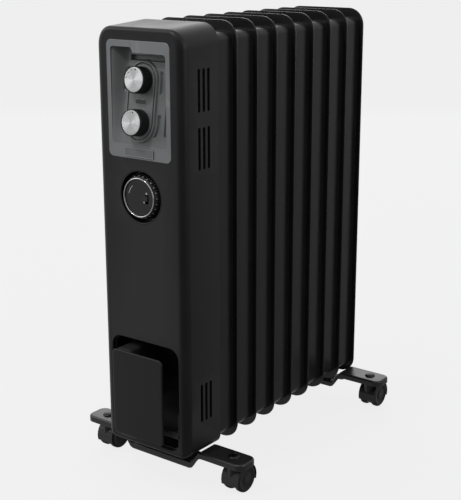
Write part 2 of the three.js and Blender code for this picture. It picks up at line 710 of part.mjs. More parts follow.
// A control body behind the panel, with the bush its shaft turns in.
function withBush(body) {
  const floorBack = -PLINTH_HEIGHT - FASCIA_SHEET;
  const bush = barZ(BUSH_RADIUS, floorBack - 2, 1.5, 0, 0);
  const bore = barZ(SHAFT_RADIUS + BORE_GAP, floorBack - 9, 2, 0, 0);
  return cut(body.add(bush), bore);
}

function makeControls() {
  const top = -PLINTH_HEIGHT - FASCIA_SHEET - JOIN_GAP;
  const y = KNOB_SPACING / 2;
  makeKnob("power", "power_switch_shaft", y);
  makeKnob("thermostat", "thermostat_shaft", -y);

  const side = SWITCH_SIDE / 2;
  const switchBody = box(-side, side, -side, side, top - SWITCH_DEPTH, top);
  add("rotary_power_switch", withBush(switchBody), PAINT.black(), panelFrame).position.y = y;
  const thermostat = barZ(THERMOSTAT_RADIUS, top - THERMOSTAT_DEPTH, top, 0, 0, 24);
  add("thermostat_body", withBush(thermostat), PAINT.brass(), panelFrame).position.y = -y;

  const half = LENS_WIDTH / 2;
  const high = LENS_HEIGHT / 2;
  const lens = slabZ(roundedRectangle(-half, half, -high, high, 2), -LENS_THICKNESS, 0.3, 1);
  add("indicator_lens", lens, PAINT.lens(), panelFrame);
  const lampTop = -LENS_THICKNESS - JOIN_GAP;
  const lampHalf = 5;
  const lamp = box(-lampHalf, lampHalf, 1 - high, high - 1, lampTop - LAMP_DEPTH, lampTop);
  add("indicator_lamp", lamp, PAINT.lens(), panelFrame);
}

// ---- Timer --------------------------------------------------------------------------------

// The timer's own frame: Z looks out of the housing along the dial's axis.
const timerFrame = new THREE.Group();
timerFrame.position.set(0, 0, TIMER_HEIGHT);
timerFrame.rotation.x = Math.PI / 2;
radiator.add(timerFrame);

// A ring with shallow teeth, narrower at the front.
function toothedRing(z0, z1) {
  const rings = [];
  for (const [z, radius] of [[z0, DIAL_BACK_RADIUS], [z1, DIAL_FRONT_RADIUS]]) {
    const ring = [];
    for (let i = 0; i < DIAL_TEETH * 2; i++) {
      const angle = (i * Math.PI) / DIAL_TEETH;
      const reach = radius - (i % 2 ? DIAL_TOOTH : 0);
      ring.push(new THREE.Vector3(reach * Math.cos(angle), reach * Math.sin(angle), z));
    }
    rings.push(ring);
  }
  return loft(rings);
}

function makeTimer() {
  const cupInner = TIMER_CUP_RADIUS - TIMER_CUP_WALL;
  const floor = -TIMER_CUP_DEPTH;
  const cup = turned([
    [0, floor - 2],
    [TIMER_CUP_RADIUS, floor - 2],
    [TIMER_CUP_RADIUS, 0.6],
    [cupInner, 0.6],
    [cupInner, floor],
    [0, floor],
  ], 32);
  const side = TIMER_MOTOR_SIDE / 2;
  const motor = box(-side, side, -side, side, floor - TIMER_MOTOR_DEPTH, floor - 1);
  add("timer_body", cup.add(motor), PAINT.black(), timerFrame);

  const dialBack = floor + RUN_GAP;
  const trimFront = TIMER_PROUD;
  const trimBack = trimFront - TRIM_RING_THICKNESS;
  const dialFront = trimBack - RUN_GAP;
  const dial = cut(toothedRing(dialBack, dialFront), barZ(DIAL_BORE, dialBack - 1, dialFront + 1, 0, 0, 32));
  add("timer_dial", dial, PAINT.black(), timerFrame);

  const hubRadius = DIAL_BORE - 0.5;
  const face = trimFront - TIMER_FACE_RECESS;
  const hub = barZ(hubRadius, floor + JOIN_GAP, face, 0, 0, 32);
  const grooveTop = OVERRIDE_HEIGHT / 2 + OVERRIDE_TRAVEL + RUN_GAP;
  const grooveHalf = OVERRIDE_WIDTH / 2 + RUN_GAP;
  const x = OVERRIDE_OFFSET;
  const grooveFloor = face - OVERRIDE_GROOVE_DEPTH;
  const groove = box(x - grooveHalf, x + grooveHalf, -grooveTop, grooveTop, grooveFloor, face + 1);
  add("timer_face", cut(hub, groove), PAINT.black(), timerFrame);

  const ring = turned([
    [TRIM_RING_INNER, trimBack],
    [TRIM_RING_OUTER, trimBack],
    [TRIM_RING_OUTER, trimFront - 0.4],
    [TRIM_RING_OUTER - 0.4, trimFront],
    [TRIM_RING_INNER, trimFront],
    [TRIM_RING_INNER, trimBack],
  ], 28);
  add("timer_trim_ring", ring, PAINT.aluminium(), timerFrame);

  const high = OVERRIDE_HEIGHT / 2;
  const wide = OVERRIDE_WIDTH / 2;
  const lever = box(x - wide, x + wide, -high, high, grooveFloor + RUN_GAP, face + OVERRIDE_PROUD);
  add("timer_override_slider", lever, PAINT.fascia(), timerFrame);
}

// ---- Cord wrap and inlet ------------------------------------------------------------------
function makeCordWrap() {
  const half = WRAP_PLATE_WIDTH / 2;
  const back = WRAP_PLATE_THICKNESS - WRAP_PLATE_PROUD;
  const outline = roundedRectangle(-half, half, WRAP_PLATE_BOTTOM, WRAP_PLATE_TOP, WRAP_PLATE_CORNER);
  const plate = slabY(outline, -WRAP_PLATE_PROUD, back, 2);
  const x0 = WRAP_POST_OFFSET - WRAP_POST_WIDTH / 2;
  const postOutline = roundedRectangle(x0, x0 + WRAP_POST_WIDTH, WRAP_POST_BOTTOM, WRAP_POST_TOP, 4);
  const post = slabY(postOutline, back - 1, RECESS_DEPTH - JOIN_GAP, 1);
  add("cord_wrap_plate", plate.add(post), PAINT.housing());

  const start = RECESS_DEPTH - 5;
  const body = barY(GLAND_RADIUS, start, start + GLAND_LENGTH, GLAND_OFFSET, GLAND_HEIGHT);
  const bore = barY(GLAND_BORE, start - 1, start + GLAND_LENGTH + 1, GLAND_OFFSET, GLAND_HEIGHT, 12);
  add("cord_gland", cut(body, bore), PAINT.rubber());
}

// ---- Inside the housing -------------------------------------------------------------------

// A plain box standing on the front face of the heat shield.
function makeShieldBox(name, size, material) {
  const back = SHIELD_FRONT - JOIN_GAP;
  const x0 = size.x - size.width / 2;
  const z0 = size.z - size.height / 2;
  add(name, box(x0, x0 + size.width, back - size.depth, back, z0, z0 + size.height), material);
}

function makeInside() {
  makeShieldBox("terminal_block", TERMINAL_BLOCK, paint("#d8d4c8", 0.5, 0));
  makeShieldBox("tip_over_switch", TIP_SWITCH, PAINT.black());
  const back = SHIELD_FRONT - JOIN_GAP;
  const cutout = barY(CUTOUT_RADIUS, back - CUTOUT_DEPTH, back, -44, CUTOUT_HEIGHT, 16);
  add("thermal_cut_out", cutout, PAINT.zinc());

  const y = SHIELD_FRONT - 12;
  const blockTop = TERMINAL_BLOCK.z + TERMINAL_BLOCK.height / 2;
  const route = new THREE.CatmullRomCurve3([
    new THREE.Vector3(10, y, blockTop + 2),
    new THREE.Vector3(20, y, blockTop + 30),
    new THREE.Vector3(LOOM_OFFSET, y, blockTop + 80),
    new THREE.Vector3(LOOM_OFFSET, y, PANEL_CENTRE_HEIGHT - 20),
    new THREE.Vector3(LOOM_OFFSET - 10, y, PANEL_CENTRE_HEIGHT + 30),
  ]);
  const section = new THREE.Shape();
  section.absarc(0, 0, LOOM_RADIUS, 0, 2 * Math.PI, false);
  const options = { steps: 16, extrudePath: route, curveSegments: 4, bevelEnabled: false };
  add("wiring_loom", solid(new THREE.ExtrudeGeometry(section, options)), PAINT.rubber());
}

// ---- Feet ---------------------------------------------------------------------------------

// Height of the foot's top face at x: flat arms, a smooth ramp, and a flat dip.
function footTop(x) {
  const along = (Math.abs(x) - FOOT_DIP_HALF) / FOOT_RAMP;
  const share = THREE.MathUtils.clamp(along, 0, 1);
  return DIP_TOP + (FOOT_DIP * (1 - Math.cos(Math.PI * share))) / 2;
}

// The foot's band in X and Z, from its top face lowered by upper to its top face lowered by lower.
function footBand(reach, upper, lower) {
  const stations = [-reach];
  for (let i = 5; i >= 0; i--) {
    stations.push(-FOOT_DIP_HALF - (FOOT_RAMP * i) / 5);
  }
  const all = [...stations, ...stations.map((x) => -x).reverse()];
  const above = all.map((x) => [x, footTop(x) - upper]);
  const below = all.map((x) => [x, footTop(x) - lower]).reverse();
  return polygon([...below, ...above].reverse());
}

function makeFoot(name, centre, screwHoles) {
  const half = FOOT_SPAN / 2;
  const wide = FOOT_WIDTH / 2;
  const plan = roundedRectangle(-half, half, centre - wide, centre + wide, FOOT_CORNER);
  const innerPlan = roundedRectangle(
    FOOT_SHEET - half, half - FOOT_SHEET, centre - wide + FOOT_SHEET,
    centre + wide - FOOT_SHEET, FOOT_CORNER - FOOT_SHEET,
  );
  const front = centre - wide - 1;
  const back = centre + wide + 1;
  const bar = slabY(footBand(half + 1, 0, FOOT_FLANGE), front, back);
  const hollow = slabY(footBand(half + 2, FOOT_SHEET, FOOT_FLANGE + 5), front, back);
  const body = bar.intersect(slabZ(plan, 0, HEIGHT, 2));
  const room = hollow.intersect(slabZ(innerPlan, 0, HEIGHT, 2));
  const stems = [-1, 1].map((side) =>
    barZ(STEM_RADIUS + JOIN_GAP, 0, FOOT_TOP + 1, (side * CASTOR_SPAN) / 2, centre),
  );
  const screws = screwHoles.map(([x, radius]) =>
    barZ(radius + JOIN_GAP, 0, FOOT_TOP, x, centre, 12),
  );
  add(name, cut(body, room, ...stems, ...screws), PAINT.fin());
}

// Steel bracket that carries the front of the radiator on the front foot.
function makeFrontFootFixing() {
  const y = FRONT_FOOT_DEPTH;
  const low = DIP_TOP + JOIN_GAP;
  const shieldBack = SHIELD_FRONT + SHIELD_SHEET + JOIN_GAP;
  const high = HEADER_LOW - ELEMENT_FLANGE_RADIUS - 3;
  const profile = polygon([
    [y - 12, low],
    [shieldBack + BRACKET_SHEET, low],
    [shieldBack + BRACKET_SHEET, high],
    [shieldBack, high],
    [shieldBack, low + BRACKET_SHEET],
    [y - 12, low + BRACKET_SHEET],
  ]);
  const holes = [-1, 1].map((side) =>
    barZ(FOOT_SCREW_RADIUS + JOIN_GAP, low - 1, low + 6, (side * FOOT_SCREW_SPACING) / 2, y, 12),
  );
  const bracket = slabX(profile, -BRACKET_HALF_WIDTH, BRACKET_HALF_WIDTH);
  add("front_foot_bracket", cut(bracket, ...holes), PAINT.zinc());
  for (const [side, word] of [[-1, "left"], [1, "right"]]) {
    const x = (side * FOOT_SCREW_SPACING) / 2;
    const underside = DIP_TOP - FOOT_SHEET - JOIN_GAP;
    const shank = barZ(FOOT_SCREW_RADIUS, underside - 1, low + BRACKET_SHEET + 4, x, y, 12);
    const head = barZ(FOOT_SCREW_RADIUS * 2, underside - 4, underside, x, y, 12);
    add(`front_foot_screw_${word}`, join(shank, head), PAINT.zinc());
  }
}

// U-bolt over the lower header between the last two fins, with a wing nut on each leg.
function makeRearFootFixing() {
  const y = REAR_FOOT_DEPTH;
  const saddle = HEADER_RADIUS + U_BOLT_GAP + U_BOLT_RADIUS;
  const legBottom = DIP_TOP - FOOT_SHEET - WING_NUT_HEIGHT - 3;
  const section = (out, angle) => {
    const reach = saddle + U_BOLT_RADIUS * Math.cos(out);
    const x = reach * Math.cos(angle);
    const z = HEADER_LOW + reach * Math.sin(angle);
    return new THREE.Vector3(x, y + U_BOLT_RADIUS * Math.sin(out), z);
  };
  const round = [0, 1, 2, 3, 4, 5, 6, 7].map((i) => (i * Math.PI) / 4);
  const bend = [0, 1, 2, 3, 4, 5, 6, 7, 8].map((i) => (i * Math.PI) / 8);
  const arch = bend.map((angle) => round.map((out) => section(out, angle)));
  const leg = (angle, z) => {
    return round.map((out) => section(out, angle).setZ(z));
  };
  const bolt = loft([leg(0, legBottom), ...arch, leg(Math.PI, legBottom)]);
  add("rear_foot_u_bolt", bolt, PAINT.zinc());

  for (const [side, word] of [[-1, "left"], [1, "right"]]) {
    const x = side * saddle;
    const top = DIP_TOP - FOOT_SHEET - JOIN_GAP;
    const hub = barZ(U_BOLT_RADIUS + 3, top - WING_NUT_HEIGHT, top, x, y, 12);
    const wings = box(x - 1.2, x + 1.2, y - 13, y + 13, top - WING_NUT_HEIGHT, top - 2);
    const bore = barZ(U_BOLT_RADIUS + JOIN_GAP, 0, top + 1, x, y, 12);
    add(`rear_foot_wing_nut_${word}`, cut(join(hub, wings), bore), PAINT.zinc());
  }
  return saddle;
}

// ---- Castors ------------------------------------------------------------------------------

// One castor about its swivel axis: a stem fixed in the foot, a fork body and two wheels.
function makeCastor(place, x, y) {
  const castor = new THREE.Group();
  castor.position.set(x, y, 0);
  radiator.add(castor);

  const seat = FOOT_TOP + JOIN_GAP;
  const stem = turned([
    [0, STEM_BOTTOM],
    [STEM_RADIUS, STEM_BOTTOM],
    [STEM_RADIUS, seat],
    [STEM_HEAD_RADIUS, seat],
    [STEM_HEAD_RADIUS * 0.8, seat + STEM_HEAD_HEIGHT * 0.7],
    [STEM_HEAD_RADIUS * 0.4, seat + STEM_HEAD_HEIGHT],
    [0, seat + STEM_HEAD_HEIGHT],
  ], 16);
  add(`castor_stem_${place}`, stem, PAINT.zinc(), castor);

  const forkTop = FOOT_TOP - FOOT_FLANGE - FORK_TOP_CLEARANCE;
  const web = CASTOR_WEB / 2;
  const disc = barX(FORK_RADIUS, -web, web, CASTOR_TRAIL, WHEEL_RADIUS);
  const boss = barZ(FORK_BOSS_RADIUS, WHEEL_RADIUS, forkTop, 0, 0);
  const reach = web + RUN_GAP + WHEEL_WIDTH;
  const axle = barX(AXLE_RADIUS, -reach, reach, CASTOR_TRAIL, WHEEL_RADIUS, 12);
  const bore = barZ(STEM_RADIUS + BORE_GAP, STEM_BOTTOM - RUN_GAP, forkTop + 1, 0, 0);
  const upper = cut(join(boss, castorHood(reach)), ...castorWheelRoom(web));
  add(`castor_fork_${place}`, cut(join(upper, disc, axle), bore), PAINT.black(), castor);

  for (const [side, word] of [[-1, "left"], [1, "right"]]) {
    const wheel = add(`castor_wheel_${place}_${word}`, wheelBody(), PAINT.rubber(), castor);
    wheel.rotation.y = (side * Math.PI) / 2;
    wheel.position.set(side * (web + RUN_GAP), CASTOR_TRAIL, WHEEL_RADIUS);
  }
}

// A drum over both wheels, cut off below: with the wheels' room taken out, it is the hood.
function castorHood(reach) {
  const radius = WHEEL_OVER_FLATS + HOOD_CLEARANCE + HOOD_WALL;
  const drum = barX(radius, -reach, reach, CASTOR_TRAIL, WHEEL_RADIUS, 24);
  const far = CASTOR_TRAIL + radius + 1;
  return cut(drum, box(-reach - 1, reach + 1, -far, far, -radius, HOOD_LOW));
}

// The room that the two wheels need beside the fork's web.
function castorWheelRoom(web) {
  return [-1, 1].map((side) => {
    const near = side * web;
    const far = side * (web + 20);
    const radius = WHEEL_OVER_FLATS + HOOD_CLEARANCE;
    return barX(radius, Math.min(near, far), Math.max(near, far), CASTOR_TRAIL, WHEEL_RADIUS, 24);
  });
}

// A wheel about Z, from its inner face at 0 outwards. Its flats lie at the wheel's radius.
function wheelBody() {
  const bore = (AXLE_RADIUS + BORE_GAP) / Math.cos(Math.PI / WHEEL_SIDES);
  const tread = WHEEL_OVER_FLATS;
  const wheel = turned([
    [bore, 0],
    [tread - WHEEL_EDGE, 0],
    [tread, WHEEL_EDGE],
    [tread, WHEEL_WIDTH - WHEEL_EDGE],
    [tread - WHEEL_EDGE, WHEEL_WIDTH],
    [bore, WHEEL_WIDTH],
    [bore, 0],
  ], WHEEL_SIDES);
  return wheel.rotate([0, 0, 180 / WHEEL_SIDES]);
}

// ---- Assembly -----------------------------------------------------------------------------
for (let i = 0; i < FIN_COUNT; i++) {
  makeFin(i);
}
makeHeaderFittings();
makeHousing();
makeHeatShield();
makeFascia();
makeControls();
makeTimer();
makeCordWrap();
makeInside();
const saddleRadius = makeRearFootFixing();
const screwX = FOOT_SCREW_SPACING / 2;
makeFoot("front_foot", FRONT_FOOT_DEPTH, [[-screwX, FOOT_SCREW_RADIUS], [screwX, FOOT_SCREW_RADIUS]]);
makeFoot("rear_foot", REAR_FOOT_DEPTH, [[-saddleRadius, U_BOLT_RADIUS], [saddleRadius, U_BOLT_RADIUS]]);
makeFrontFootFixing();
for (const [end, y] of [["front", FRONT_FOOT_DEPTH], ["rear", REAR_FOOT_DEPTH]]) {
  makeCastor(`${end}_left`, -CASTOR_SPAN / 2, y);
  makeCastor(`${end}_right`, CASTOR_SPAN / 2, y);
}

// The origin goes to the floor under the middle of the overall box.
const bounds = new THREE.Box3().setFromObject(radiator);
radiator.position.y = -(bounds.min.y + bounds.max.y) / 2;

export default radiator;
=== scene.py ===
# %% [markdown]
# Oil filled radiator heater. Eight pressed steel fins hang on two oil headers, a moulded control
# housing closes the front, and two pressed feet stand on twin wheel castors. Visible pieces are
# surfaces worked out with numpy in millimetres and put in place in metres, and small inner ones keep
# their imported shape. Joint places and many boxes are read from the frame. Other sizes are stated here,
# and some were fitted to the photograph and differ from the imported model: the cord recess, the wrap
# plate, the vents' width, the feet's dip, the panel's floor and the count of the timer's teeth.

# %% Load the frame
import json
import math

import bmesh
import bpy
import numpy as np
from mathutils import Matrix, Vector


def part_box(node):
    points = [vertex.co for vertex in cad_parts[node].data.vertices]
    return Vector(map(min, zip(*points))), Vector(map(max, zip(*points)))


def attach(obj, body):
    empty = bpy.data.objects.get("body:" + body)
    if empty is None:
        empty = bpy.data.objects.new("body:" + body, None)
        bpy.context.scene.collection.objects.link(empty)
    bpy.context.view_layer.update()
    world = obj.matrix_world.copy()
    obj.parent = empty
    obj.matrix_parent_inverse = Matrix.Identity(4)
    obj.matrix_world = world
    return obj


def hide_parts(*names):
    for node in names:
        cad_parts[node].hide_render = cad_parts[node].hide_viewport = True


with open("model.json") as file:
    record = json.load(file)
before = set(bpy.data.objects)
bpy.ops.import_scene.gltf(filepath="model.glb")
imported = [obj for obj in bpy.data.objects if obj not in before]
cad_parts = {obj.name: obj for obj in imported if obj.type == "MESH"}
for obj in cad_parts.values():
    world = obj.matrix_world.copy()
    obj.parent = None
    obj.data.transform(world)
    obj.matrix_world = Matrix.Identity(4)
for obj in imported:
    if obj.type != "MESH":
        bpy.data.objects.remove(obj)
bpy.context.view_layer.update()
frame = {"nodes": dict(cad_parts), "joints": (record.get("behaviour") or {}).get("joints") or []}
MM = 0.001

# %% [markdown]
# The camera stands to the right of the panel and a little above the heater's top, with a long lens,
# so upright edges stay nearly parallel. The lens is in millimetres for a sensor whose long side,
# here its height, is 36 mm.

# %% Camera
CAMERA_PLACE = (0.9636, -1.28871, 0.7446)
CAMERA_AZIMUTH, CAMERA_ELEVATION, CAMERA_ROLL = 37.07, 15.54, 0.1

camera_data = bpy.data.cameras.new("studio_camera")
camera_data.lens = 80.1
camera_data.sensor_width = 36.0
camera_data.shift_x, camera_data.shift_y = -0.0044, -0.0054
camera = bpy.data.objects.new("studio_camera", camera_data)
bpy.context.scene.collection.objects.link(camera)
camera.location = CAMERA_PLACE
camera.rotation_mode = "XYZ"
camera.rotation_euler = (
    math.radians(90 - CAMERA_ELEVATION), math.radians(CAMERA_ROLL), math.radians(CAMERA_AZIMUTH)
)
bpy.context.scene.camera = camera
print("camera at", CAMERA_PLACE)

# %% [markdown]
# A dark heater is drawn by what it reflects, so the sky is graded: dark low on the right and bright
# high behind on the left. Four square soft lights stand behind, over the knobs, right and left. The
# sky's stops and the lights' powers were set by comparing tones with the photograph from the main view.

# %% Studio
def srgb(code):
    """sRGB hex to linear: c / 12.92 below 0.04045, else ((c + 0.055) / 1.055) to the power 2.4."""
    value = np.array([int(code[i:i + 2], 16) for i in (1, 3, 5)]) / 255
    linear = np.where(value <= 0.04045, value / 12.92, ((value + 0.055) / 1.055) ** 2.4)
    return (*linear.tolist(), 1.0)


def grey(value):
    return (value, value, value, 1.0)


def soft_light(name, place, target, size, power):
    """A square area light of that size in metres, turned from its place to its target."""
    data = bpy.data.lights.new(name, "AREA")
    data.shape, data.size, data.energy = "SQUARE", size, power
    lamp = bpy.data.objects.new(name, data)
    bpy.context.scene.collection.objects.link(lamp)
    lamp.location = place
    away = lamp.location - Vector(target)
    lamp.rotation_euler = away.to_track_quat("Z", "Y").to_euler()
    return lamp


world = bpy.data.worlds.new("studio_sky")
bpy.context.scene.world = world
world.use_nodes = True
# The shade follows (1 + direction . SKY_LEAN) / 2, through stops of (place, linear grey).
SKY_LEAN = (-0.70, 0.30, 0.65)
SKY_STOPS = [(0.30, 0.16), (0.48, 0.5), (0.62, 0.55), (0.80, 0.7), (0.95, 0.8)]
sky = world.node_tree
direction = sky.nodes.new("ShaderNodeTexCoord").outputs["Generated"]
lean = sky.nodes.new("ShaderNodeVectorMath")
lean.operation = "DOT_PRODUCT"
lean.inputs[1].default_value = SKY_LEAN
sky.links.new(direction, lean.inputs[0])
half = sky.nodes.new("ShaderNodeMath")
half.operation = "MULTIPLY_ADD"
half.inputs[1].default_value = half.inputs[2].default_value = 0.5
sky.links.new(lean.outputs["Value"], half.inputs[0])
shades = sky.nodes.new("ShaderNodeValToRGB")
stops = shades.color_ramp.elements
stops.remove(stops[1])
stops[0].position, stops[0].color = SKY_STOPS[0][0], grey(SKY_STOPS[0][1])
for place, value in SKY_STOPS[1:]:
    stops.new(place).color = grey(value)
sky.links.new(half.outputs[0], shades.inputs[0])
sky.links.new(shades.outputs[0], sky.nodes["Background"].inputs["Color"])
sky.nodes["Background"].inputs["Strength"].default_value = 1.0
LIGHTS = [  # name, place, target, side in metres, watts
    ("back_light", (-1.7, 2.3, 1.6), (0, 0, 0.4), 2.6, 22),
    ("cap_light", (-0.25, -1.5, 2.3), (0, -0.2, 0.54), 0.3, 12),
    ("right_light", (2.6, 0.2, 1.2), (0, 0, 0.35), 1.8, 14),
    ("left_light", (-2.4, -1.6, 1.8), (0, 0, 0.4), 1.6, 14),
]
for settings in LIGHTS:
    soft_light(*settings)
bpy.context.scene.view_settings.view_transform = "Standard"

# %% [markdown]
# Materials are node graphs. One helper adds a node with its settings and its links, and another
# builds the usual chain: fine grain in the bump, slow clouds in the colour and roughness, and convex
# edges in a paler colour, partly wear and partly a painted highlight. Patterns read Object coordinates,
# which are metres on the heater itself.

# %% Material helpers
def add_node(tree, kind, links=None, **settings):
    """A node of that kind: settings name its properties or inputs, links feed its inputs."""
    made = tree.nodes.new(kind)
    for name, value in settings.items():
        if hasattr(made, name):
            setattr(made, name, value)
        else:
            made.inputs[name.replace("_", " ")].default_value = value
    for name, source in (links or {}).items():
        tree.links.new(source, made.inputs[name])
    return made


def start_material(name):
    """An empty material with an output and a principled shader, returned with both."""
    material = bpy.data.materials.new(name)
    material.use_nodes = True
    tree = material.node_tree
    tree.nodes.clear()
    shader = add_node(tree, "ShaderNodeBsdfPrincipled")
    add_node(tree, "ShaderNodeOutputMaterial", {"Surface": shader.outputs[0]})
    return material, tree, shader


def ramp(tree, source, stops):
    """A colour ramp on a 0 to 1 source, with (place, linear colour) stops."""
    made = add_node(tree, "ShaderNodeValToRGB", {"Fac": source})
    band = made.color_ramp
    band.elements[0].position, band.elements[0].color = stops[0]
    band.elements[1].position, band.elements[1].color = stops[-1]
    for place, colour in stops[1:-1]:
        band.elements.new(place).color = colour
    return made


def surface(name, code, edge_code, grain_mm, grain_depth_mm, rough, spread=0.06, stretch=(1, 1, 1),
            metallic=0.0, specular=0.5, ior=1.5, coat=0.0, cloud_mm=60.0):
    """Colour, grain, and edges of wear and painted highlight for one finish.

    Roughness is rough plus or minus spread over clouds of cloud_mm. The bump is noise of grain_mm,
    grain_depth_mm high. Convex edges, where pointiness passes one half, take the edge colour: partly
    wear and partly a painted highlight.
    """
    material, tree, shader = start_material(name)
    place = add_node(tree, "ShaderNodeTexCoord").outputs["Object"]
    drawn = add_node(tree, "ShaderNodeMapping", {"Vector": place}, Scale=stretch).outputs[0]
    cloud = add_node(tree, "ShaderNodeTexNoise", {"Vector": place}, Scale=1000 / cloud_mm, Detail=3.0)
    grain = add_node(tree, "ShaderNodeTexNoise", {"Vector": drawn}, Scale=1000 / grain_mm, Detail=2.0)
    base = np.array(srgb(code))
    dark, light = base * 0.88, base * 1.12
    dark[3] = light[3] = 1.0
    tone = ramp(tree, cloud.outputs[0], [(0.3, tuple(dark)), (0.7, tuple(light))])
    point = add_node(tree, "ShaderNodeNewGeometry").outputs["Pointiness"]
    # Convex edges take the edge colour, partly wear and partly a painted highlight.
    wear_and_highlight = ramp(tree, point, [(0.51, grey(0.0)), (0.58, grey(1.0))])
    mixed = add_node(tree, "ShaderNodeMix", data_type="RGBA")
    tree.links.new(wear_and_highlight.outputs[0], mixed.inputs[0])
    tree.links.new(tone.outputs[0], mixed.inputs[6])
    mixed.inputs[7].default_value = srgb(edge_code)
    tree.links.new(mixed.outputs[2], shader.inputs["Base Color"])
    dull = ramp(tree, cloud.outputs[0], [(0.3, grey(rough - spread)), (0.7, grey(rough + spread))])
    tree.links.new(dull.outputs[0], shader.inputs["Roughness"])
    bump = add_node(tree, "ShaderNodeBump", {"Height": grain.outputs[0]},
                    Strength=1.0, Distance=grain_depth_mm * MM)
    tree.links.new(bump.outputs[0], shader.inputs["Normal"])
    shader.inputs["Metallic"].default_value = metallic
    shader.inputs["Specular IOR Level"].default_value = specular
    shader.inputs["IOR"].default_value = ior
    shader.inputs["Coat Weight"].default_value = coat
    return material


# %% [markdown]
# The fins and feet are pressed mild steel with a baked enamel: nearly smooth, with the faint long
# ripple called orange peel, which breaks up reflections. The housing is moulded polypropylene with a
# fine spark-eroded grain, which spreads highlights. The real grain is about 0.1 mm; it is drawn at
# 0.8 mm so that it shows at all.

# %% Paints and plastics
# Baked enamel: a satin coat over steel, whose edges take thin bright lines, helped by a paler edge colour
# painted on as a highlight.
enamel = surface("baked_enamel", "#191919", "#343435", 3.0, 0.02, 0.3, 0.05, specular=0.5)
# Polypropylene moulding: eroded grain gives a broad, dull highlight.
housing_plastic = surface("eroded_polypropylene", "#121213", "#2a2a2b", 0.8, 0.02, 0.42, 0.05, specular=0.35)
# Painted ABS panel: a metallic grey lacquer, with a paler colour painted on its convex edges as a highlight.
panel_paint = surface("lacquered_abs", "#717273", "#8a8c8e", 0.6, 0.012, 0.42, 0.04, specular=0.45)
# Glossier black ABS of the knobs and the timer.
black_abs = surface("black_abs", "#0f0f10", "#242425", 0.7, 0.012, 0.36, 0.05)
# Nylon 6 wheels and hoods: dull, a little waxy.
nylon = surface("moulded_nylon", "#111112", "#262627", 1.0, 0.02, 0.5, 0.06, specular=0.4)
rubber = surface("vulcanised_rubber", "#161617", "#2a2a2b", 0.9, 0.03, 0.72, 0.05, specular=0.3)
white_print = surface("pad_printed_ink", "#c9c9c6", "#d8d8d6", 0.5, 0.004, 0.6, 0.04)
lens = surface("smoked_polycarbonate", "#1c1716", "#352c29", 0.8, 0.006, 0.14, 0.03, ior=1.58, coat=0.3)
ceramic = surface("steatite_ceramic", "#d6d1c4", "#e4e0d6", 0.6, 0.02, 0.6, 0.05)
print("plastics and paints:", len(bpy.data.materials))

# %% [markdown]
# Metals have no colour of their own but their reflection. Rolled and drawn metal shows long streaks,
# so their noise is squeezed across the streak. Zinc plate is mottled, and chrome is a clean mirror.

# %% Metals
zinc = surface("zinc_plated_steel", "#9a9ca0", "#b8babd", 1.2, 0.01, 0.36, 0.08, metallic=1.0, cloud_mm=6)
black_zinc = surface("black_passivated_zinc", "#2b2b2d", "#48484b", 1.2, 0.01, 0.38, 0.07, metallic=1.0,
                     cloud_mm=6)
tube_steel = surface("drawn_steel_tube", "#77756f", "#98968f", 0.8, 0.01, 0.42, 0.08, (1, 0.05, 1), 1.0)
brushed = surface("brushed_aluminium", "#b5b7ba", "#a5a7aa", 0.7, 0.01, 0.34, 0.06, (0.04, 1, 1), 1.0)
chrome = surface("polished_chrome", "#c3c4c6", "#d4d5d6", 2.0, 0.002, 0.1, 0.03, metallic=1.0)
brass = surface("rolled_brass", "#a98a4c", "#c2a566", 0.9, 0.01, 0.4, 0.07, (1, 0.1, 1), 1.0)


def spun_metal(name, code, groove_mm):
    """Turned aluminium: noise that varies only with radius, the piece's V, gives the tool's rings."""
    material, tree, shader = start_material(name)
    uv = add_node(tree, "ShaderNodeUVMap", uv_map="turned").outputs[0]
    across = add_node(tree, "ShaderNodeMapping", {"Vector": uv}, Scale=(0.6, 16 / groove_mm, 1)).outputs[0]
    rings = add_node(tree, "ShaderNodeTexNoise", {"Vector": across}, Scale=1.0, Detail=2.0)
    base = np.array(srgb(code))
    dark = base * 0.85
    dark[3] = 1.0
    tone = ramp(tree, rings.outputs[0], [(0.35, tuple(dark)), (0.65, tuple(base))])
    tree.links.new(tone.outputs[0], shader.inputs["Base Color"])
    dull = ramp(tree, rings.outputs[0], [(0.3, grey(0.24)), (0.7, grey(0.36))])
    tree.links.new(dull.outputs[0], shader.inputs["Roughness"])
    bump = add_node(tree, "ShaderNodeBump", {"Height": rings.outputs[0]}, Strength=1.0, Distance=0.006 * MM)
    tree.links.new(bump.outputs[0], shader.inputs["Normal"])
    along = add_node(tree, "ShaderNodeTangent", direction_type="UV_MAP", uv_map="turned")
    tree.links.new(along.outputs[0], shader.inputs["Tangent"])
    shader.inputs["Metallic"].default_value = 1.0
    shader.inputs["Anisotropic"].default_value = 0.85
    return material


spun = spun_metal("spun_aluminium", "#dfe0e1", 0.25)
print("materials in all:", len(bpy.data.materials))

# %% [markdown]
# Shapes start as rings of points. A closed skin runs through equal rings and is closed at both ends.
# The same two helpers make plates, tubs, knobs and wheels, so each piece only states its outline or
# its profile.

# %% Surface helpers
def grid_faces(rows, columns, wrap_rows=False, wrap_columns=False):
    """Quads of a rows by columns grid: corner i, j joins i, j + 1, then i + 1, j + 1, then i + 1, j."""
    i = np.arange(rows if wrap_rows else rows - 1)[:, None]
    j = np.arange(columns if wrap_columns else columns - 1)[None, :]
    below, right = (i + 1) % rows, (j + 1) % columns
    corners = [i * columns + j, i * columns + right, below * columns + right, below * columns + j]
    return np.stack(np.broadcast_arrays(*corners), axis=-1).reshape(-1, 4)


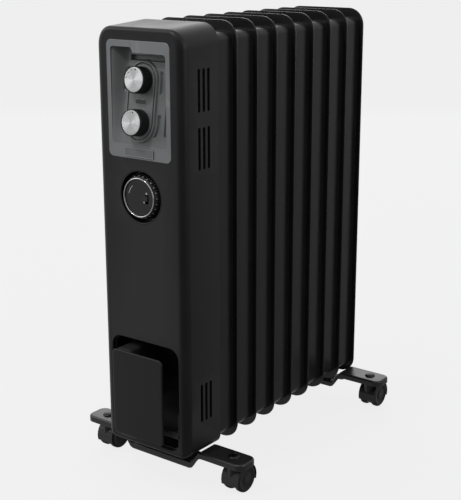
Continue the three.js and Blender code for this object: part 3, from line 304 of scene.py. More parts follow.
def make_mesh(name, points, faces):
    """A mesh from points in mm, with doubles merged and all faces turned outwards."""
    mesh = bpy.data.meshes.new(name)
    mesh.from_pydata((np.asarray(points, float).reshape(-1, 3) * MM).tolist(), [], faces)
    tool = bmesh.new()
    tool.from_mesh(mesh)
    bmesh.ops.remove_doubles(tool, verts=tool.verts, dist=1e-6)
    bmesh.ops.recalc_face_normals(tool, faces=tool.faces)
    tool.to_mesh(mesh)
    tool.free()
    return mesh


def skin(rings, closed=False, caps=True):
    """Points and faces through rings of one shape, rings[k, i]: capped, or the last joined to the first."""
    rings = np.asarray(rings, float)
    count, size = rings.shape[:2]
    faces = grid_faces(count, size, closed, True).tolist()
    if caps and not closed:
        faces.append(list(range(size)))
        faces.append(list(range((count - 1) * size, count * size)))
    return rings.reshape(-1, 3), faces


def gather(parts):
    """Several (points, faces) pairs as one pair, with each later part's face numbers moved on."""
    points, faces, start = [], [], 0
    for part_points, part_faces in parts:
        part_points = np.asarray(part_points, float).reshape(-1, 3)
        points.append(part_points)
        faces += [[start + k for k in face] for face in part_faces]
        start += len(part_points)
    return np.concatenate(points), faces


def finish_piece(piece, material, body, stands_for=(), slot=None, sharp=38.0, weighted=True):
    """Gives a piece its material, smooth shading with edges over sharp degrees kept, and its body."""
    piece.data.materials.clear()
    piece.data.materials.append(material)
    piece.data.shade_smooth()
    piece.data.set_sharp_from_angle(angle=math.radians(sharp))
    if weighted:
        even = piece.modifiers.new("even_normals", "WEIGHTED_NORMAL")
        even.keep_sharp = True
    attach(piece, body)
    if stands_for:
        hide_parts(*stands_for)
    return piece


def add_piece(name, shape, material, body="heater", stands_for=(), slot=None, **options):
    """A finished piece from (points, faces)."""
    piece = bpy.data.objects.new(name, make_mesh(name, *shape))
    bpy.context.scene.collection.objects.link(piece)
    return finish_piece(piece, material, body, stands_for, slot, **options)


def carve(body_shape, cutters, name):
    """The body with each cutter taken away, as one new mesh object."""
    body = bpy.data.objects.new(name, make_mesh(name, *body_shape))
    tool = bpy.data.objects.new("cutters", make_mesh("cutters", *gather(cutters)))
    for made in (body, tool):
        bpy.context.scene.collection.objects.link(made)
    away = body.modifiers.new("away", "BOOLEAN")
    away.operation, away.object, away.solver, away.use_self = "DIFFERENCE", tool, "EXACT", True
    bpy.context.view_layer.update()
    cut_mesh = bpy.data.meshes.new_from_object(body.evaluated_get(bpy.context.evaluated_depsgraph_get()))
    body.modifiers.clear()
    body.data = cut_mesh
    bpy.data.objects.remove(tool)
    return body


def rounded(x0, x1, z0, z1, low, high=None, arc=10, side=6):
    """A rectangle with round corners, anticlockwise from the lower right: arc steps to a corner."""
    high = low if high is None else high
    centres = [(x1 - low, z0 + low, low, -90), (x1 - high, z1 - high, high, 0),
               (x0 + high, z1 - high, high, 90), (x0 + low, z0 + low, low, 180)]
    corners = []
    for x, z, radius, start in centres:
        turn = np.radians(start + np.linspace(0, 90, arc + 1))
        corners.append(np.stack([x + radius * np.cos(turn), z + radius * np.sin(turn)], axis=1))
    share = np.linspace(0, 1, side + 1)[1:-1, None]
    loop = []
    for k in range(4):
        here, after = corners[k], corners[(k + 1) % 4]
        loop += [here, here[-1] * (1 - share) + after[0] * share]
    return np.concatenate(loop)


def upright(outline, depth):
    """Outline points X, Z set at a depth Y, which may be one number or one for each point."""
    return np.stack([outline[:, 0], np.broadcast_to(depth, len(outline)), outline[:, 1]], axis=1)


def level(outline, height):
    """Outline points X, Y set at a height Z."""
    return np.stack([outline[:, 0], outline[:, 1], np.broadcast_to(height, len(outline))], axis=1)


def turned(profile, steps=64, ripple=None):
    """A profile of (radius, out) turned about the out axis, in that axis's own X, up, out.

    ripple(angle, radius, out) is added to the radius, for ribs and teeth.
    """
    profile = np.asarray(profile, float)
    angle = np.linspace(0, 2 * np.pi, steps, endpoint=False)[None, :]
    radius, out = profile[:, :1], profile[:, 1:]
    reach = radius + (ripple(angle, radius, out) if ripple else 0 * angle)
    return np.stack([reach * np.cos(angle), reach * np.sin(angle), out + 0 * angle], axis=-1)


def set_along(rings, centre, out, up=(0, 0, 1)):
    """Local X, up, out moved to centre: each point is centre + X * (up cross out) + up + out."""
    out, up = np.array(out, float), np.array(up, float)
    axes = np.stack([np.cross(up, out), up, out])
    return np.asarray(centre, float) + np.asarray(rings) @ axes


def outward(outline):
    """Unit normals of an anticlockwise outline: the chord past each point, turned a quarter right."""
    chord = np.roll(outline, -1, axis=0) - np.roll(outline, 1, axis=0)
    chord /= np.linalg.norm(chord, axis=1, keepdims=True)
    return np.stack([chord[:, 1], -chord[:, 0]], axis=1)


def smooth(value, low, high):
    """0 below low, 1 above high, and three t squared less two t cubed between them."""
    t = np.clip((value - low) / (high - low), 0, 1)
    return t * t * (3 - 2 * t)


def low_corner(node):
    return np.array(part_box(node)[0]) / MM


def high_corner(node):
    return np.array(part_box(node)[1]) / MM


front_y = low_corner("control_housing")[1]
print("the housing's front plane is at Y =", round(front_y, 2), "mm")

# %% [markdown]
# A fin is one steel sheet. Two upright oil ways and a round boss at each header are pressed out of
# both faces, and two wings are folded forward down its sides, which turn in at top and bottom and
# leave a chimney for the air. The sheet is a tube of sections from bottom to top, so both faces and
# the edge are one skin. The wings are a section carried along their folded outline.

# %% Fins
FIN_HALF, FIN_CORNER, FIN_SHEET = 71.7, 26.0, 2.0
FIN_LOW, FIN_HIGH = low_corner("fin_1")[2], high_corner("fin_1")[2]
HEADER_LOW, HEADER_HIGH, HEADER_RADIUS = FIN_LOW + 55, FIN_HIGH - 55, 22.0
WING_OUT, WING_LOW, WING_HIGH, WING_BEND, WING_END = 63.5, FIN_LOW + 14, FIN_HIGH - 14, 11.0, 36.0
fin_depth = high_corner("fin_1")[1] - low_corner("fin_1")[1]


def pressed(x, z):
    """Height of the pressing: 6 mm times the larger of a smooth way and a smooth boss."""
    way = smooth(12 - np.abs(np.abs(x) - 22), 0, 5) * smooth(z, HEADER_LOW - 20, HEADER_LOW)
    way = way * smooth(-z, -HEADER_HIGH - 20, -HEADER_HIGH)
    reach = np.minimum(np.hypot(x, z - HEADER_LOW), np.hypot(x, z - HEADER_HIGH))
    return 6 * np.maximum(way, smooth(34.5 - reach, 0, 5))


def fin_sheet(face):
    """Sections of both faces: half width is 71.7 less the corner's c - sqrt(c squared - d squared)."""
    turn = np.radians(np.linspace(0, 90, 11))
    ends = FIN_CORNER * (1 - np.cos(turn))
    z = np.concatenate([FIN_LOW + ends, np.linspace(FIN_LOW + 30, FIN_HIGH - 30, 121),
                        (FIN_HIGH - ends)[::-1]])
    inside = np.clip(FIN_CORNER - np.minimum(z - FIN_LOW, FIN_HIGH - z), 0, FIN_CORNER)
    half = FIN_HALF - FIN_CORNER + np.sqrt(FIN_CORNER ** 2 - inside ** 2)
    x = (half - 0.6)[:, None] * np.linspace(-1, 1, 61)[None, :]
    tall = np.broadcast_to(z[:, None], x.shape)
    raised = pressed(x, tall)
    near = np.stack([x, face - raised, tall], axis=-1)
    far = np.stack([x, face + FIN_SHEET + raised, tall], axis=-1)[:, ::-1]

    def edge(side):
        return np.stack([side * half, np.full_like(half, face + FIN_SHEET / 2), z], axis=-1)[:, None]

    return skin(np.concatenate([near, edge(1), far, edge(-1)], axis=1))


def wing(face, side):
    """A section 1.6 mm thick with a half millimetre crown, carried along the folded outline."""
    turn = np.radians(np.linspace(-90, 0, 11))
    bend = np.stack([np.cos(turn), np.sin(turn)], axis=1)
    x_bend = WING_OUT - WING_BEND
    low = np.array([x_bend, WING_LOW + WING_BEND]) + WING_BEND * bend
    high = np.array([x_bend, WING_HIGH - WING_BEND]) + WING_BEND * (bend * [1, -1])[::-1]
    upward = np.linspace(low[-1], high[0], 9)[1:-1]
    path = np.concatenate([[[WING_END, WING_LOW]], low, upward, high, [[WING_END, WING_HIGH]]])
    normal = np.concatenate([[[0, -1]], bend, np.tile([1, 0], (7, 1)), (bend * [1, -1])[::-1], [[0, 1]]])
    start = face - fin_depth + 6 + FIN_SHEET
    share = np.linspace(0.06, 0.9, 9)
    crown = np.stack([0.5 * (1 - (2 * share - 1) ** 2), start + share * (face - start)], axis=1)
    section = np.concatenate([
        [(-1.6, start + 0.8), (-1.35, start + 0.25), (-0.8, start), (-0.25, start + 0.25), (0, start + 0.8)],
        crown, [(0, face - 1.5), (0.1, face - 0.5), (0.4, face + 0.2), (-1.6, face + 0.6)]])
    spot = path[:, None] + normal[:, None] * section[None, :, :1]
    depth = np.broadcast_to(section[None, :, 1], spot.shape[:2])
    return skin(np.stack([side * spot[..., 0], depth, spot[..., 1]], axis=-1))


def header(face, start, z):
    """A collar from start to the fin, with a small rounded weld at each end."""
    out = face - start
    profile = [(12, 0), (HEADER_RADIUS - 1, 0), (HEADER_RADIUS, 1), (HEADER_RADIUS, out - 8),
               (HEADER_RADIUS + 1.6, out - 6.5), (HEADER_RADIUS + 1.6, out - 5), (12, out - 4)]
    return skin(set_along(turned(profile, 40), (0, start, z), (0, 1, 0)))


for number in range(1, 9):
    node = f"fin_{number}"
    face = high_corner(node)[1] - 6 - FIN_SHEET
    parts = [fin_sheet(face), wing(face, 1), wing(face, -1)]
    parts += [header(face, low_corner(node)[1] + 0.05, z) for z in (HEADER_LOW, HEADER_HIGH)]
    add_piece(f"fin_pressing_{number}", gather(parts), enamel, "heater", [node], "fin_paint")
print("fins: 8, first sheet at Y =", round(high_corner("fin_1")[1] - 8, 1))

# %% [markdown]
# The housing is one moulded shell, open at the back. Its outline is offset inwards along its own
# normals to round the front edge, by 12 mm on the sides and 5 mm at the top and bottom. The top
# falls 5 mm towards the front. Openings are cut from that shell: a sheet this thin with so many
# holes is easier to cut than to draw.

# %% Control housing
HOUSING_HALF = high_corner("control_housing")[0]
HOUSING_LOW, HOUSING_HIGH = low_corner("control_housing")[2], high_corner("control_housing")[2]
HOUSING_DEPTH = high_corner("control_housing")[1] - front_y
WALL = 2.5


def housing_ring(inset, angle, depth=None):
    """The outline at one step round the front edge.

    It moves in by inset + r (1 - sin a) and back by inset + r (1 - cos a). With nx the outline
    normal's X, r is 5 + 7 nx squared, less the inset.
    """
    outline = rounded(-HOUSING_HALF, HOUSING_HALF, HOUSING_LOW, HOUSING_HIGH, 14, 26, arc=14, side=16)
    normal = outward(outline)
    turn = math.radians(angle)
    radius = 5 + 7 * normal[:, 0] ** 2 - inset
    moved = outline - normal * (inset + radius * (1 - math.sin(turn)))[:, None]
    back = inset + radius * (1 - math.cos(turn)) if depth is None else np.full(len(moved), float(depth))
    tall = (moved[:, 1] - HOUSING_LOW) / (HOUSING_HIGH - HOUSING_LOW)
    moved[:, 1] -= 5 * (1 - back / HOUSING_DEPTH) * tall
    return upright(moved, front_y + back)


def slab(outline, y0, y1):
    """A closed prism between two depths, measured from the housing's front."""
    return skin([upright(outline, front_y + y0), upright(outline, front_y + y1)])


VENT_HALF_WIDTH, VENT_HALF_HEIGHT, VENT_PITCH, VENT_FROM_BACK = 2.6, 28, 9.8, 22
VENT_ROWS = (557, 481.5, 127)


def vent(side, column, z):
    """A slot 5.2 by 56 mm with round ends, through the side wall."""
    y = HOUSING_DEPTH - VENT_FROM_BACK - VENT_PITCH * column + front_y
    outline = rounded(y - VENT_HALF_WIDTH, y + VENT_HALF_WIDTH, z - VENT_HALF_HEIGHT,
                      z + VENT_HALF_HEIGHT, 2.5, arc=5, side=2)
    x0, x1 = sorted((side * (HOUSING_HALF + 1), side * (HOUSING_HALF - WALL - 1)))
    loop = np.stack([np.zeros(len(outline)), outline[:, 0], outline[:, 1]], axis=1)
    return skin([loop + [x0, 0, 0], loop + [x1, 0, 0]])


RECESS = dict(x0=-58.6, x1=59.2, z0=61, z1=209.5, low=15)
LIP = 1.6


def recess(grow, arc=10, side=8):
    return rounded(RECESS["x0"] - grow, RECESS["x1"] + grow, RECESS["z0"] - grow, RECESS["z1"] + grow,
                   RECESS["low"] + grow, arc=arc, side=side)


joint_place = {j["name"]: np.array(j["pos_m"]) / MM for j in frame["joints"] if "pos_m" in j}
TIMER = joint_place["timer_dial_turn"]
EDGE_ANGLES = [0, 12, 24, 36, 48, 60, 75, 90]
shell = [housing_ring(0, a) for a in EDGE_ANGLES] + [housing_ring(0, 90, HOUSING_DEPTH - 0.6)]
shell += [housing_ring(0.6, 90, HOUSING_DEPTH), housing_ring(WALL, 90, HOUSING_DEPTH)]
shell += [housing_ring(WALL, a) for a in EDGE_ANGLES[::-1]]
cutters = [
    slab(rounded(-54.2, 54.2, 465.3, 616.7, 8.2), -1, 1.7),  # seat of the tray's frame
    slab(rounded(-49.2, 49.2, 480.8, 612.2, 3), -1, 8),  # opening for the tray
    slab(recess(LIP), -1, WALL + 1),
    slab(rounded(-23, 23, 50, 57, 1), HOUSING_DEPTH - 2.6, HOUSING_DEPTH + 1),  # notch low at the back
    skin(set_along(turned([(36.6, -6), (36.6, 2)], 72), TIMER, (0, -1, 0))),
]
cutters += [vent(side, column, z) for side in (-1, 1) for column in range(3) for z in VENT_ROWS]
housing = carve(skin(shell), cutters, "control_housing_shell")
finish_piece(housing, housing_plastic, "heater", ["control_housing"], "housing_plastic")
print("housing shell faces:", len(housing.data.polygons))

# %% [markdown]
# The recess for the cord is a tub behind the front, with a rolled lip and a small step just inside
# it. A bar crosses it near the bottom, and a plate stands out in front on one wide post, so the cord
# winds behind the plate.

# %% Cord recess, sill and wrap plate
def tub_ring(inset, back):
    return upright(recess(-inset), front_y + back)


# Each pair is (inset, depth behind the front) of one ring: down the outside, then the lip and inside.
inside = [(-LIP, 0.9), (-LIP, 0.02)]
inside += [(-LIP * math.cos(a), LIP * (1 - math.cos(a))) for a in np.radians([20, 45, 70, 90])]
inside += [(0, 5), (0.4, 5.3), (1.2, 5.5), (1.5, 5.9), (1.5, 34), (2.1, 36), (3.5, 37.4), (5.5, 38)]
outside = [(3.0, 40), (-1.2, 38), (-2.2, 34), (-2.2, 3), (-LIP, 2.6)]
tub = [tub_ring(inset, back) for inset, back in outside + inside]
add_piece("cord_recess_tub", skin(tub), housing_plastic, slot="housing_plastic")


def soft_bar(x0, x1, y0, y1, z0, z1, radius):
    """A bar with rounded long edges: a round-cornered Y, Z section carried along X."""
    outline = rounded(y0, y1, z0, z1, radius, arc=5, side=2)
    loop = np.stack([np.zeros(len(outline)), front_y + outline[:, 0], outline[:, 1]], axis=1)
    return skin([loop + [x, 0, 0] for x in (x0, x1)])


sill = soft_bar(-59.5, 60, 1.2, 9, 79, 88, 1.4)
sill_ribs = [slab(rounded(x - 0.9, x + 0.9, 66, 116, 0.8, arc=4, side=2), 1.2, 12) for x in (-58.2, 58.2)]
add_piece("cord_recess_sill", gather([sill, *sill_ribs]), housing_plastic, slot="housing_plastic")


def cushioned(outline_at, y0, y1, front_round, back_round, crown=0.0):
    """A plate between two depths with both edges rounded: the outline shrinks along each quarter turn."""
    quarter = np.radians([0, 22, 45, 67, 90])
    rings = [(front_round * (1 - math.sin(a)), y0 + front_round * (1 - math.cos(a))) for a in quarter]
    rings += [(back_round * (1 - math.cos(a)), y1 - back_round * (1 - math.sin(a))) for a in quarter]
    loops = [upright(outline_at(inset), front_y + y) for inset, y in rings]
    middle = [upright(outline_at(front_round + more), front_y + y0 - crown * min(more / 30, 1))
              for more in (24, 12, 5)]
    return skin(middle + loops)


def plate_outline(inset):
    return rounded(-46.4 + inset, 43.4 - inset, 70 + inset, 196 - inset, max(7 - inset, 0.6), arc=8,
                   side=6)


plate_low = low_corner("cord_wrap_plate")
PLATE_THICKNESS, POST_BACK = 3, 37.9
plate_start = plate_low[1] - front_y
plate = cushioned(plate_outline, plate_start, plate_start + PLATE_THICKNESS, 1.5, 0.7)
post_outline = rounded(-38, -13, 110, 199, 4, arc=5, side=3)
post = skin([upright(post_outline, plate_low[1] + 2), upright(post_outline, front_y + POST_BACK)])
add_piece("cord_wrap", gather([plate, post]), housing_plastic, "heater", ["cord_wrap_plate"],
          "housing_plastic")
print("cord wrap plate stands", round(front_y - plate_low[1], 1), "mm proud")

# %% [markdown]
# The control panel is a grey tray. Its frame sits in the front of the housing, and its floor leans
# back, level with the frame at the bottom and deep under the visor at the top. The floor is a height
# field: one depth for each X and Z, so the raised island round the knobs, its groove and the finger
# hollows beside it are sums of smooth steps.

# %% Control panel
TRAY = dict(x=54.0, z0=464.6, z1=618.6, corner=8.0)
BAY_HALF, BAY_LOW, BAY_HIGH, VISOR_DROP = 47.0, 483.0, 610.0, 7.0
TILT = math.radians(8)
panel_out = (0, -math.cos(TILT), math.sin(TILT))
panel_up = (0, math.sin(TILT), math.cos(TILT))
thermostat, power = joint_place["thermostat_knob_turn"], joint_place["power_knob_turn"]
knob_z = sorted((thermostat[2], power[2]))
middle_z, half_gap = sum(knob_z) / 2, (knob_z[1] - knob_z[0]) / 2


def panel_depth(x, z):
    """Depth of the floor behind the housing's front: a plane, less the island, plus the hollows."""
    up = z - middle_z
    reach = np.hypot(x, np.maximum(np.abs(up) - half_gap, 0))
    island = 4 * smooth(-reach, -26, -24.5)
    groove = 2.2 * smooth(reach, 20.6, 21.1) * smooth(-reach, -22.9, -22.4)
    ledge = 1.1 * smooth(x, -27.4, -26.6) * smooth(z, 490, 505) * smooth(reach, 25.5, 26.0)
    hollows = 0
    for side, centre in ((1, 24), (1, -31), (-1, 27)):
        crescent = smooth(reach, 27.5, 29.5) * smooth(-reach, -34.5, -32) * (side * x > 0)
        hollows = hollows + 3.2 * crescent * smooth(-np.abs(up - centre), -17, -11)
    wedge = 2.6 * smooth(x, 40.5, 41.5) * smooth(-z, -545, -538) * smooth(z, 497, 498.5)
    slot = 6 * smooth(z, 591.5, 592.5) * smooth(-z, -599, -598) * smooth(x, -25.5, -24.5)
    lean = 0.1532 * (z - 482.3) * (0.1 + 0.9 * smooth(x, -47, -29))
    return -0.45 + lean - island + groove - ledge + hollows + wedge + slot


def bay_outline(inset=0.0):
    """The bay's opening, with the visor hanging 7 mm lower to the right of X = -8."""
    right, left = BAY_HALF - inset, -BAY_HALF + inset
    loop = rounded(left, right, BAY_LOW + inset, BAY_HIGH - inset, 4.5, arc=8, side=40)
    drop = VISOR_DROP * smooth(loop[:, 0], -12, -8) * np.clip((loop[:, 1] - 540) / 65, 0, 1)
    loop[:, 1] -= drop
    return loop


def tray_outline(inset):
    return rounded(-TRAY["x"] + inset, TRAY["x"] - inset, TRAY["z0"] + inset, TRAY["z1"] - inset,
                   TRAY["corner"] - inset, arc=8, side=40)


tray_rings = [upright(tray_outline(0.2), front_y + 2.2), upright(tray_outline(0), front_y + 0.3),
              upright(tray_outline(0.1), front_y - 0.2), upright(tray_outline(0.5), front_y - 0.5),
              upright(bay_outline(0), front_y - 0.5), upright(bay_outline(0.1), front_y - 0.4),
              upright(bay_outline(0.15), front_y + 1), upright(bay_outline(0.15), front_y + 26),
              upright(bay_outline(-1.6), front_y + 26), upright(bay_outline(-1.6), front_y + 2.2)]
x = np.linspace(-BAY_HALF - 0.6, BAY_HALF + 0.6, 185)[None, :]
z = np.linspace(BAY_LOW - 0.4, BAY_HIGH + 0.6, 235)[:, None]
depth = front_y + panel_depth(x, z)
sheet = np.stack(np.broadcast_arrays(x, depth, z), axis=-1)
back = sheet + [0, 1.6, 0]
rows, columns = sheet.shape[:2]
front_faces = grid_faces(rows, columns)
rim = np.concatenate([np.arange(columns), np.arange(1, rows) * columns + columns - 1,
                      (rows - 1) * columns + np.arange(columns - 1)[::-1],
                      np.arange(1, rows - 1)[::-1] * columns])
after = np.roll(rim, -1)
count = rows * columns
side_faces = np.stack([rim, rim + count, after + count, after], axis=1)
floor_sheet = (np.concatenate([sheet.reshape(-1, 3), back.reshape(-1, 3)]),
               np.concatenate([front_faces, front_faces[:, ::-1] + count, side_faces]).tolist())
add_piece("control_panel", gather([skin(tray_rings, closed=True), floor_sheet]), panel_paint, "heater",
          ["control_fascia"], "panel_plastic", sharp=32, weighted=False)


def on_panel(up, out, x=0.0):
    """A place on the knobs' own plane, in mm from the middle between the two knob centres."""
    base = (thermostat + power) / 2
    return base + np.array([x, 0, 0]) + np.array(panel_up) * up + np.array(panel_out) * out


LENS_HALF_WIDTH, LENS_HALF_HEIGHT = 9.4, 3.4
lens_rings = [level(rounded(-LENS_HALF_WIDTH + inset, LENS_HALF_WIDTH - inset, -LENS_HALF_HEIGHT + inset,
                            LENS_HALF_HEIGHT - inset, 1.2, arc=4, side=2), out)
              for inset, out in ((0, -1.6), (0, 0.2), (0.3, 0.55), (1.1, 0.7))]
add_piece("indicator_window", skin(set_along(lens_rings, on_panel(0, 0), panel_out, panel_up)), lens,
          "heater", ["indicator_lens"], "lens_plastic")

badge_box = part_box("badge_plate")
badge_half, badge_low, badge_high = badge_box[1][0] / MM, badge_box[0][2] / MM, badge_box[1][2] / MM
badge_front = badge_box[0][1] / MM


def badge_rings(pairs):
    """The badge's outline moved in and back by each pair."""
    return [upright(rounded(-badge_half + inset, badge_half - inset, badge_low + inset,
                            badge_high - inset, 1.2, arc=4, side=3), badge_front + back)
            for inset, back in pairs]


blank = badge_rings([(0, 0.45), (0, 0.1), (0.15, 0), (0.75, 0), (0.9, 0.22), (1.2, 0.25)])
add_piece("badge_blank", skin(blank), panel_paint, "heater", slot="badge_aluminium")
border = badge_rings([(0.1, 0.12), (0.12, -0.03), (0.75, -0.03), (0.8, 0.12)])
add_piece("badge_border", skin(border, closed=True), brushed, "heater", ["badge_plate"], "badge_aluminium")
print("panel floor points:", count)

# %% [markdown]
# A knob is a ribbed black grip with a thin spun aluminium disc let into its face. Turning leaves
# fine rings in the disc, which spread the light across themselves: the material is anisotropic along
# them. The grip is a turned profile whose radius is rippled round the axis.

# %% Knobs
GRIP, CAP, KNOB_OUT = 17.6, 16.0, 18.0


def ribs(angle, radius, out):
    """48 flutes: radius falls by 0.55 (1 - |cos 24a|) on the side wall."""
    wall = smooth(out, 2.5, 3.5) * smooth(-out, -16.8, -15.8) * smooth(radius, GRIP - 1, GRIP - 0.4)
    return -0.55 * (1 - np.abs(np.cos(24 * angle))) * wall


def uv_disc(piece, centre, out, up):
    """A UV map named turned: U is the turn about the axis, V the distance from it over 16 mm."""
    mesh = piece.data
    layer = mesh.uv_layers.new(name="turned")
    points = np.zeros(len(mesh.vertices) * 3)
    mesh.vertices.foreach_get("co", points)
    points = points.reshape(-1, 3) / MM - centre
    corner = np.zeros(len(mesh.loops), dtype=int)
    mesh.loops.foreach_get("vertex_index", corner)
    high = points @ np.array(up)
    wide = points @ np.cross(up, out)
    turn = np.arctan2(high, wide) / (2 * np.pi) + 0.5
    u, v = turn[corner], (np.hypot(high, wide) / CAP)[corner]
    starts = np.zeros(len(mesh.polygons), dtype=int)
    sizes = np.zeros(len(mesh.polygons), dtype=int)
    mesh.polygons.foreach_get("loop_start", starts)
    mesh.polygons.foreach_get("loop_total", sizes)
    owner = np.repeat(np.arange(len(starts)), sizes)
    highest = np.maximum.reduceat(u, starts)[owner]
    u = np.where((highest - u) > 0.5, u + 1, u)
    layer.data.foreach_set("uv", np.stack([u, v], axis=1).ravel())


def knob(body, place, marks, names):
    grip = [(7, 0.5), (GRIP, 0.5), (GRIP, 2.3), (GRIP, 3.6), (GRIP, 6), (GRIP, 9), (GRIP, 12),
            (GRIP, 15.6), (GRIP - 0.1, 17), (GRIP - 0.5, 17.7), (GRIP - 1.1, KNOB_OUT),
            (CAP + 0.25, KNOB_OUT), (CAP + 0.15, 17.2), (CAP + 0.1, 16.9), (7, 16.9)]
    grip_skin = skin(set_along(turned(grip, 384, ribs), place, panel_out, panel_up))
    add_piece(names[0], grip_skin, black_abs, body, [names[0].replace("_grip", "")], "black_plastic",
              weighted=False)
    radii = np.array([0.6, 2, 4, 6, 8, 10, 12, 14, 15.2, 15.7, 16.0, 16.05])
    outs = np.array([17.42] * 9 + [17.36, 17.2, 16.95])
    disc = turned(np.stack([radii, outs], axis=1), 96)
    cap_piece = add_piece(names[1], skin(set_along(disc, place, panel_out, panel_up)), spun, body,
                          [names[1].replace("_disc", "")], "cap_aluminium", weighted=False)
    uv_disc(cap_piece, place, panel_out, panel_up)
    dots = []
    for angle, reach, size in marks:
        spot = place + reach * (np.cos(math.radians(angle)) * np.array(panel_up)
                                + np.sin(math.radians(angle)) * np.array([1, 0, 0]))
        dots.append(skin(set_along(turned([(size, 17.3), (size, 17.47), (size - 0.2, 17.5)], 14),
                                   spot, panel_out, panel_up)))
    add_piece(names[1].replace("_disc", "_marks"), gather(dots), black_abs, body, slot="marking_plastic")


knob("power_knob", power, [(8, 13, 1.1), (-22, 13, 0.7), (-50, 13, 1.0), (-80, 13, 0.9)],
     ("power_knob_grip", "power_knob_cap_disc"))
knob("thermostat_knob", thermostat,
     [(8, 13.4, 1.0)] + [(angle, 13.6, 0.32) for angle in range(-255, 0, 12)],
     ("thermostat_knob_grip", "thermostat_knob_cap_disc"))
print("knobs at heights", [round(v, 1) for v in knob_z])

# %% [markdown]
# The 24 hour timer is a dial with saw teeth round its rim, sunk a little in a round cup. A chrome
# ring and a still face lie in its middle. The teeth are the radius of a turned profile rippled 48
# times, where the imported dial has 24, and each hour has a small raised white mark on the cone.

# %% Timer
FORWARD = (0, -1, 0)
cup = [(30.6, -14), (34.4, -14), (34.6, -6), (34.7, -0.8), (35.0, -0.1), (35.5, 0.15), (36.1, 0.1),
       (36.4, -0.3), (36.4, -12), (37.4, -13), (37.4, -19), (12, -19), (12, -16), (26, -15.5)]
add_piece("timer_cup", skin(set_along(turned(cup, 160), TIMER, FORWARD), closed=True), black_abs, "heater",
          ["timer_body"], "black_plastic", weighted=False)


def teeth(angle, radius, out):
    """48 teeth: radius falls by 1.1 mm times a sawtooth in 48 turns of the angle, at the rim only."""
    saw = (angle * 48 / (2 * np.pi)) % 1
    return -1.1 * smooth(saw, 0.2, 0.8) * smooth(radius, 28.4, 30.4)


dial = [(25.3, -8.4), (30.4, -8.4), (31.0, -8.0), (31.0, -3.2), (30.8, -2.6), (30.4, -2.2), (29.2, 0.2),
        (28.2, 2.3), (27.8, 2.9), (27.2, 3.2), (25.8, 3.2), (25.3, 2.9)]
add_piece("timer_dial_ring", skin(set_along(turned(dial, 576, teeth), TIMER, FORWARD), closed=True),
          black_abs, "timer_dial", ["timer_dial"], "black_plastic", weighted=False, sharp=30)
hour_marks = []
for hour in range(24):
    angle = math.radians(15 * hour + 4)
    tall = 0.95 if hour % 2 == 0 else 0.6
    block = np.array([(28.6 - tall, a, 1.3 + tall * 1.45 + o) for o in (-0.6, 0.16) for a in (-0.35, 0.35)]
                     + [(29.1, a, 0.55 + o) for o in (-0.6, 0.16) for a in (0.35, -0.35)])
    ring = block[[[0, 1, 4, 5], [2, 3, 6, 7]]]  # the mark's lower and upper four corners
    spun_round = np.stack([ring[..., 0] * math.cos(angle) - ring[..., 1] * math.sin(angle),
                           ring[..., 0] * math.sin(angle) + ring[..., 1] * math.cos(angle),
                           ring[..., 2]], axis=-1)
    hour_marks.append(skin(set_along(spun_round, TIMER, FORWARD)))
add_piece("timer_hour_marks", gather(hour_marks), white_print, "timer_dial", slot="marking_plastic")

trim = [(24.95, 3.1), (24.95, 4.1), (25.2, 4.6), (25.7, 4.85), (26.2, 4.75), (26.6, 4.4), (26.75, 3.9),
        (26.75, 3.35)]
add_piece("timer_chrome_ring", skin(set_along(turned(trim, 128), TIMER, FORWARD), closed=True), chrome,
          "heater", ["timer_trim_ring"], "trim_chrome", weighted=False)


face_disc = turned([(24.7, -3.5), (24.7, 2.6), (24.4, 2.9), (23.9, 3.0), (1, 3.0)], 96)
lever_slot = rounded(10.1, 15.9, -7.3, 7.3, 1.2, arc=5, side=1)  # 5.8 by 14.6 mm about X = 13
slot_cutter = [level(lever_slot, out) for out in (-10.0, 6.0)]
face_piece = carve(skin(set_along(face_disc, TIMER, FORWARD)), [skin(set_along(slot_cutter, TIMER, FORWARD))],
                   "timer_still_face")
finish_piece(face_piece, black_abs, "heater", ["timer_face"], "black_plastic")


def arc_mark(radius, start, end, width):
    """A flat print between two angles: a strip of the ring radius plus or minus half its width."""
    angle = np.radians(np.linspace(start, end, 24))[:, None]
    reach = radius + np.array([-width, width, width, -width])[None, :] / 2
    out = np.array([2.9, 2.9, 3.05, 3.05])[None, :]
    return np.stack(np.broadcast_arrays(reach * np.cos(angle), reach * np.sin(angle), out), axis=-1)


prints = [skin(set_along(arc_mark(18.5, 128, 168, 0.7), TIMER, FORWARD))]
arrow = np.array([[(16.2, 4.6, 2.9), (19.6, 4.6, 2.9), (17.9, 7.6, 2.9)],
                  [(16.2, 4.6, 3.05), (19.6, 4.6, 3.05), (17.9, 7.6, 3.05)]]) - [5.2, -1.2, 0]
prints.append(skin(set_along(arrow, TIMER, FORWARD)))
prints.append(skin(set_along(turned([(1.0, 2.9), (1.0, 3.05), (0.4, 3.05)], 16) + [8.2, -5.5, 0], TIMER,
                             FORWARD)))
add_piece("timer_face_marks", gather(prints), white_print, "heater", slot="marking_plastic")

lever_low, lever_high = low_corner("timer_override_slider"), high_corner("timer_override_slider")
lever_mid = (lever_low + lever_high) / 2
lever = [rounded(lever_low[0] + i, lever_high[0] - i, lever_mid[2] - 3.4 + i, lever_mid[2] + 3.4 - i, 1.0,
                 arc=4, side=1) for i in (0, 0, 0.25, 0.7)]
lever_rings = [upright(loop, lever_low[1] + d) for loop, d in zip(lever, (5.0, 0.5, 0.1, 0))]
add_piece("timer_override_lever", skin(lever_rings), black_abs, "timer_override",
          ["timer_override_slider"], "black_plastic")
print("timer pieces: 7")

# %% [markdown]
# Each foot is a pressed steel channel: a flat top that dips under the radiator, with its edge rolled
# over into a flange. The outline's rings are carried down a quarter turn and then straight, and each
# ring takes its height from X, so the whole bar bends with the dip.

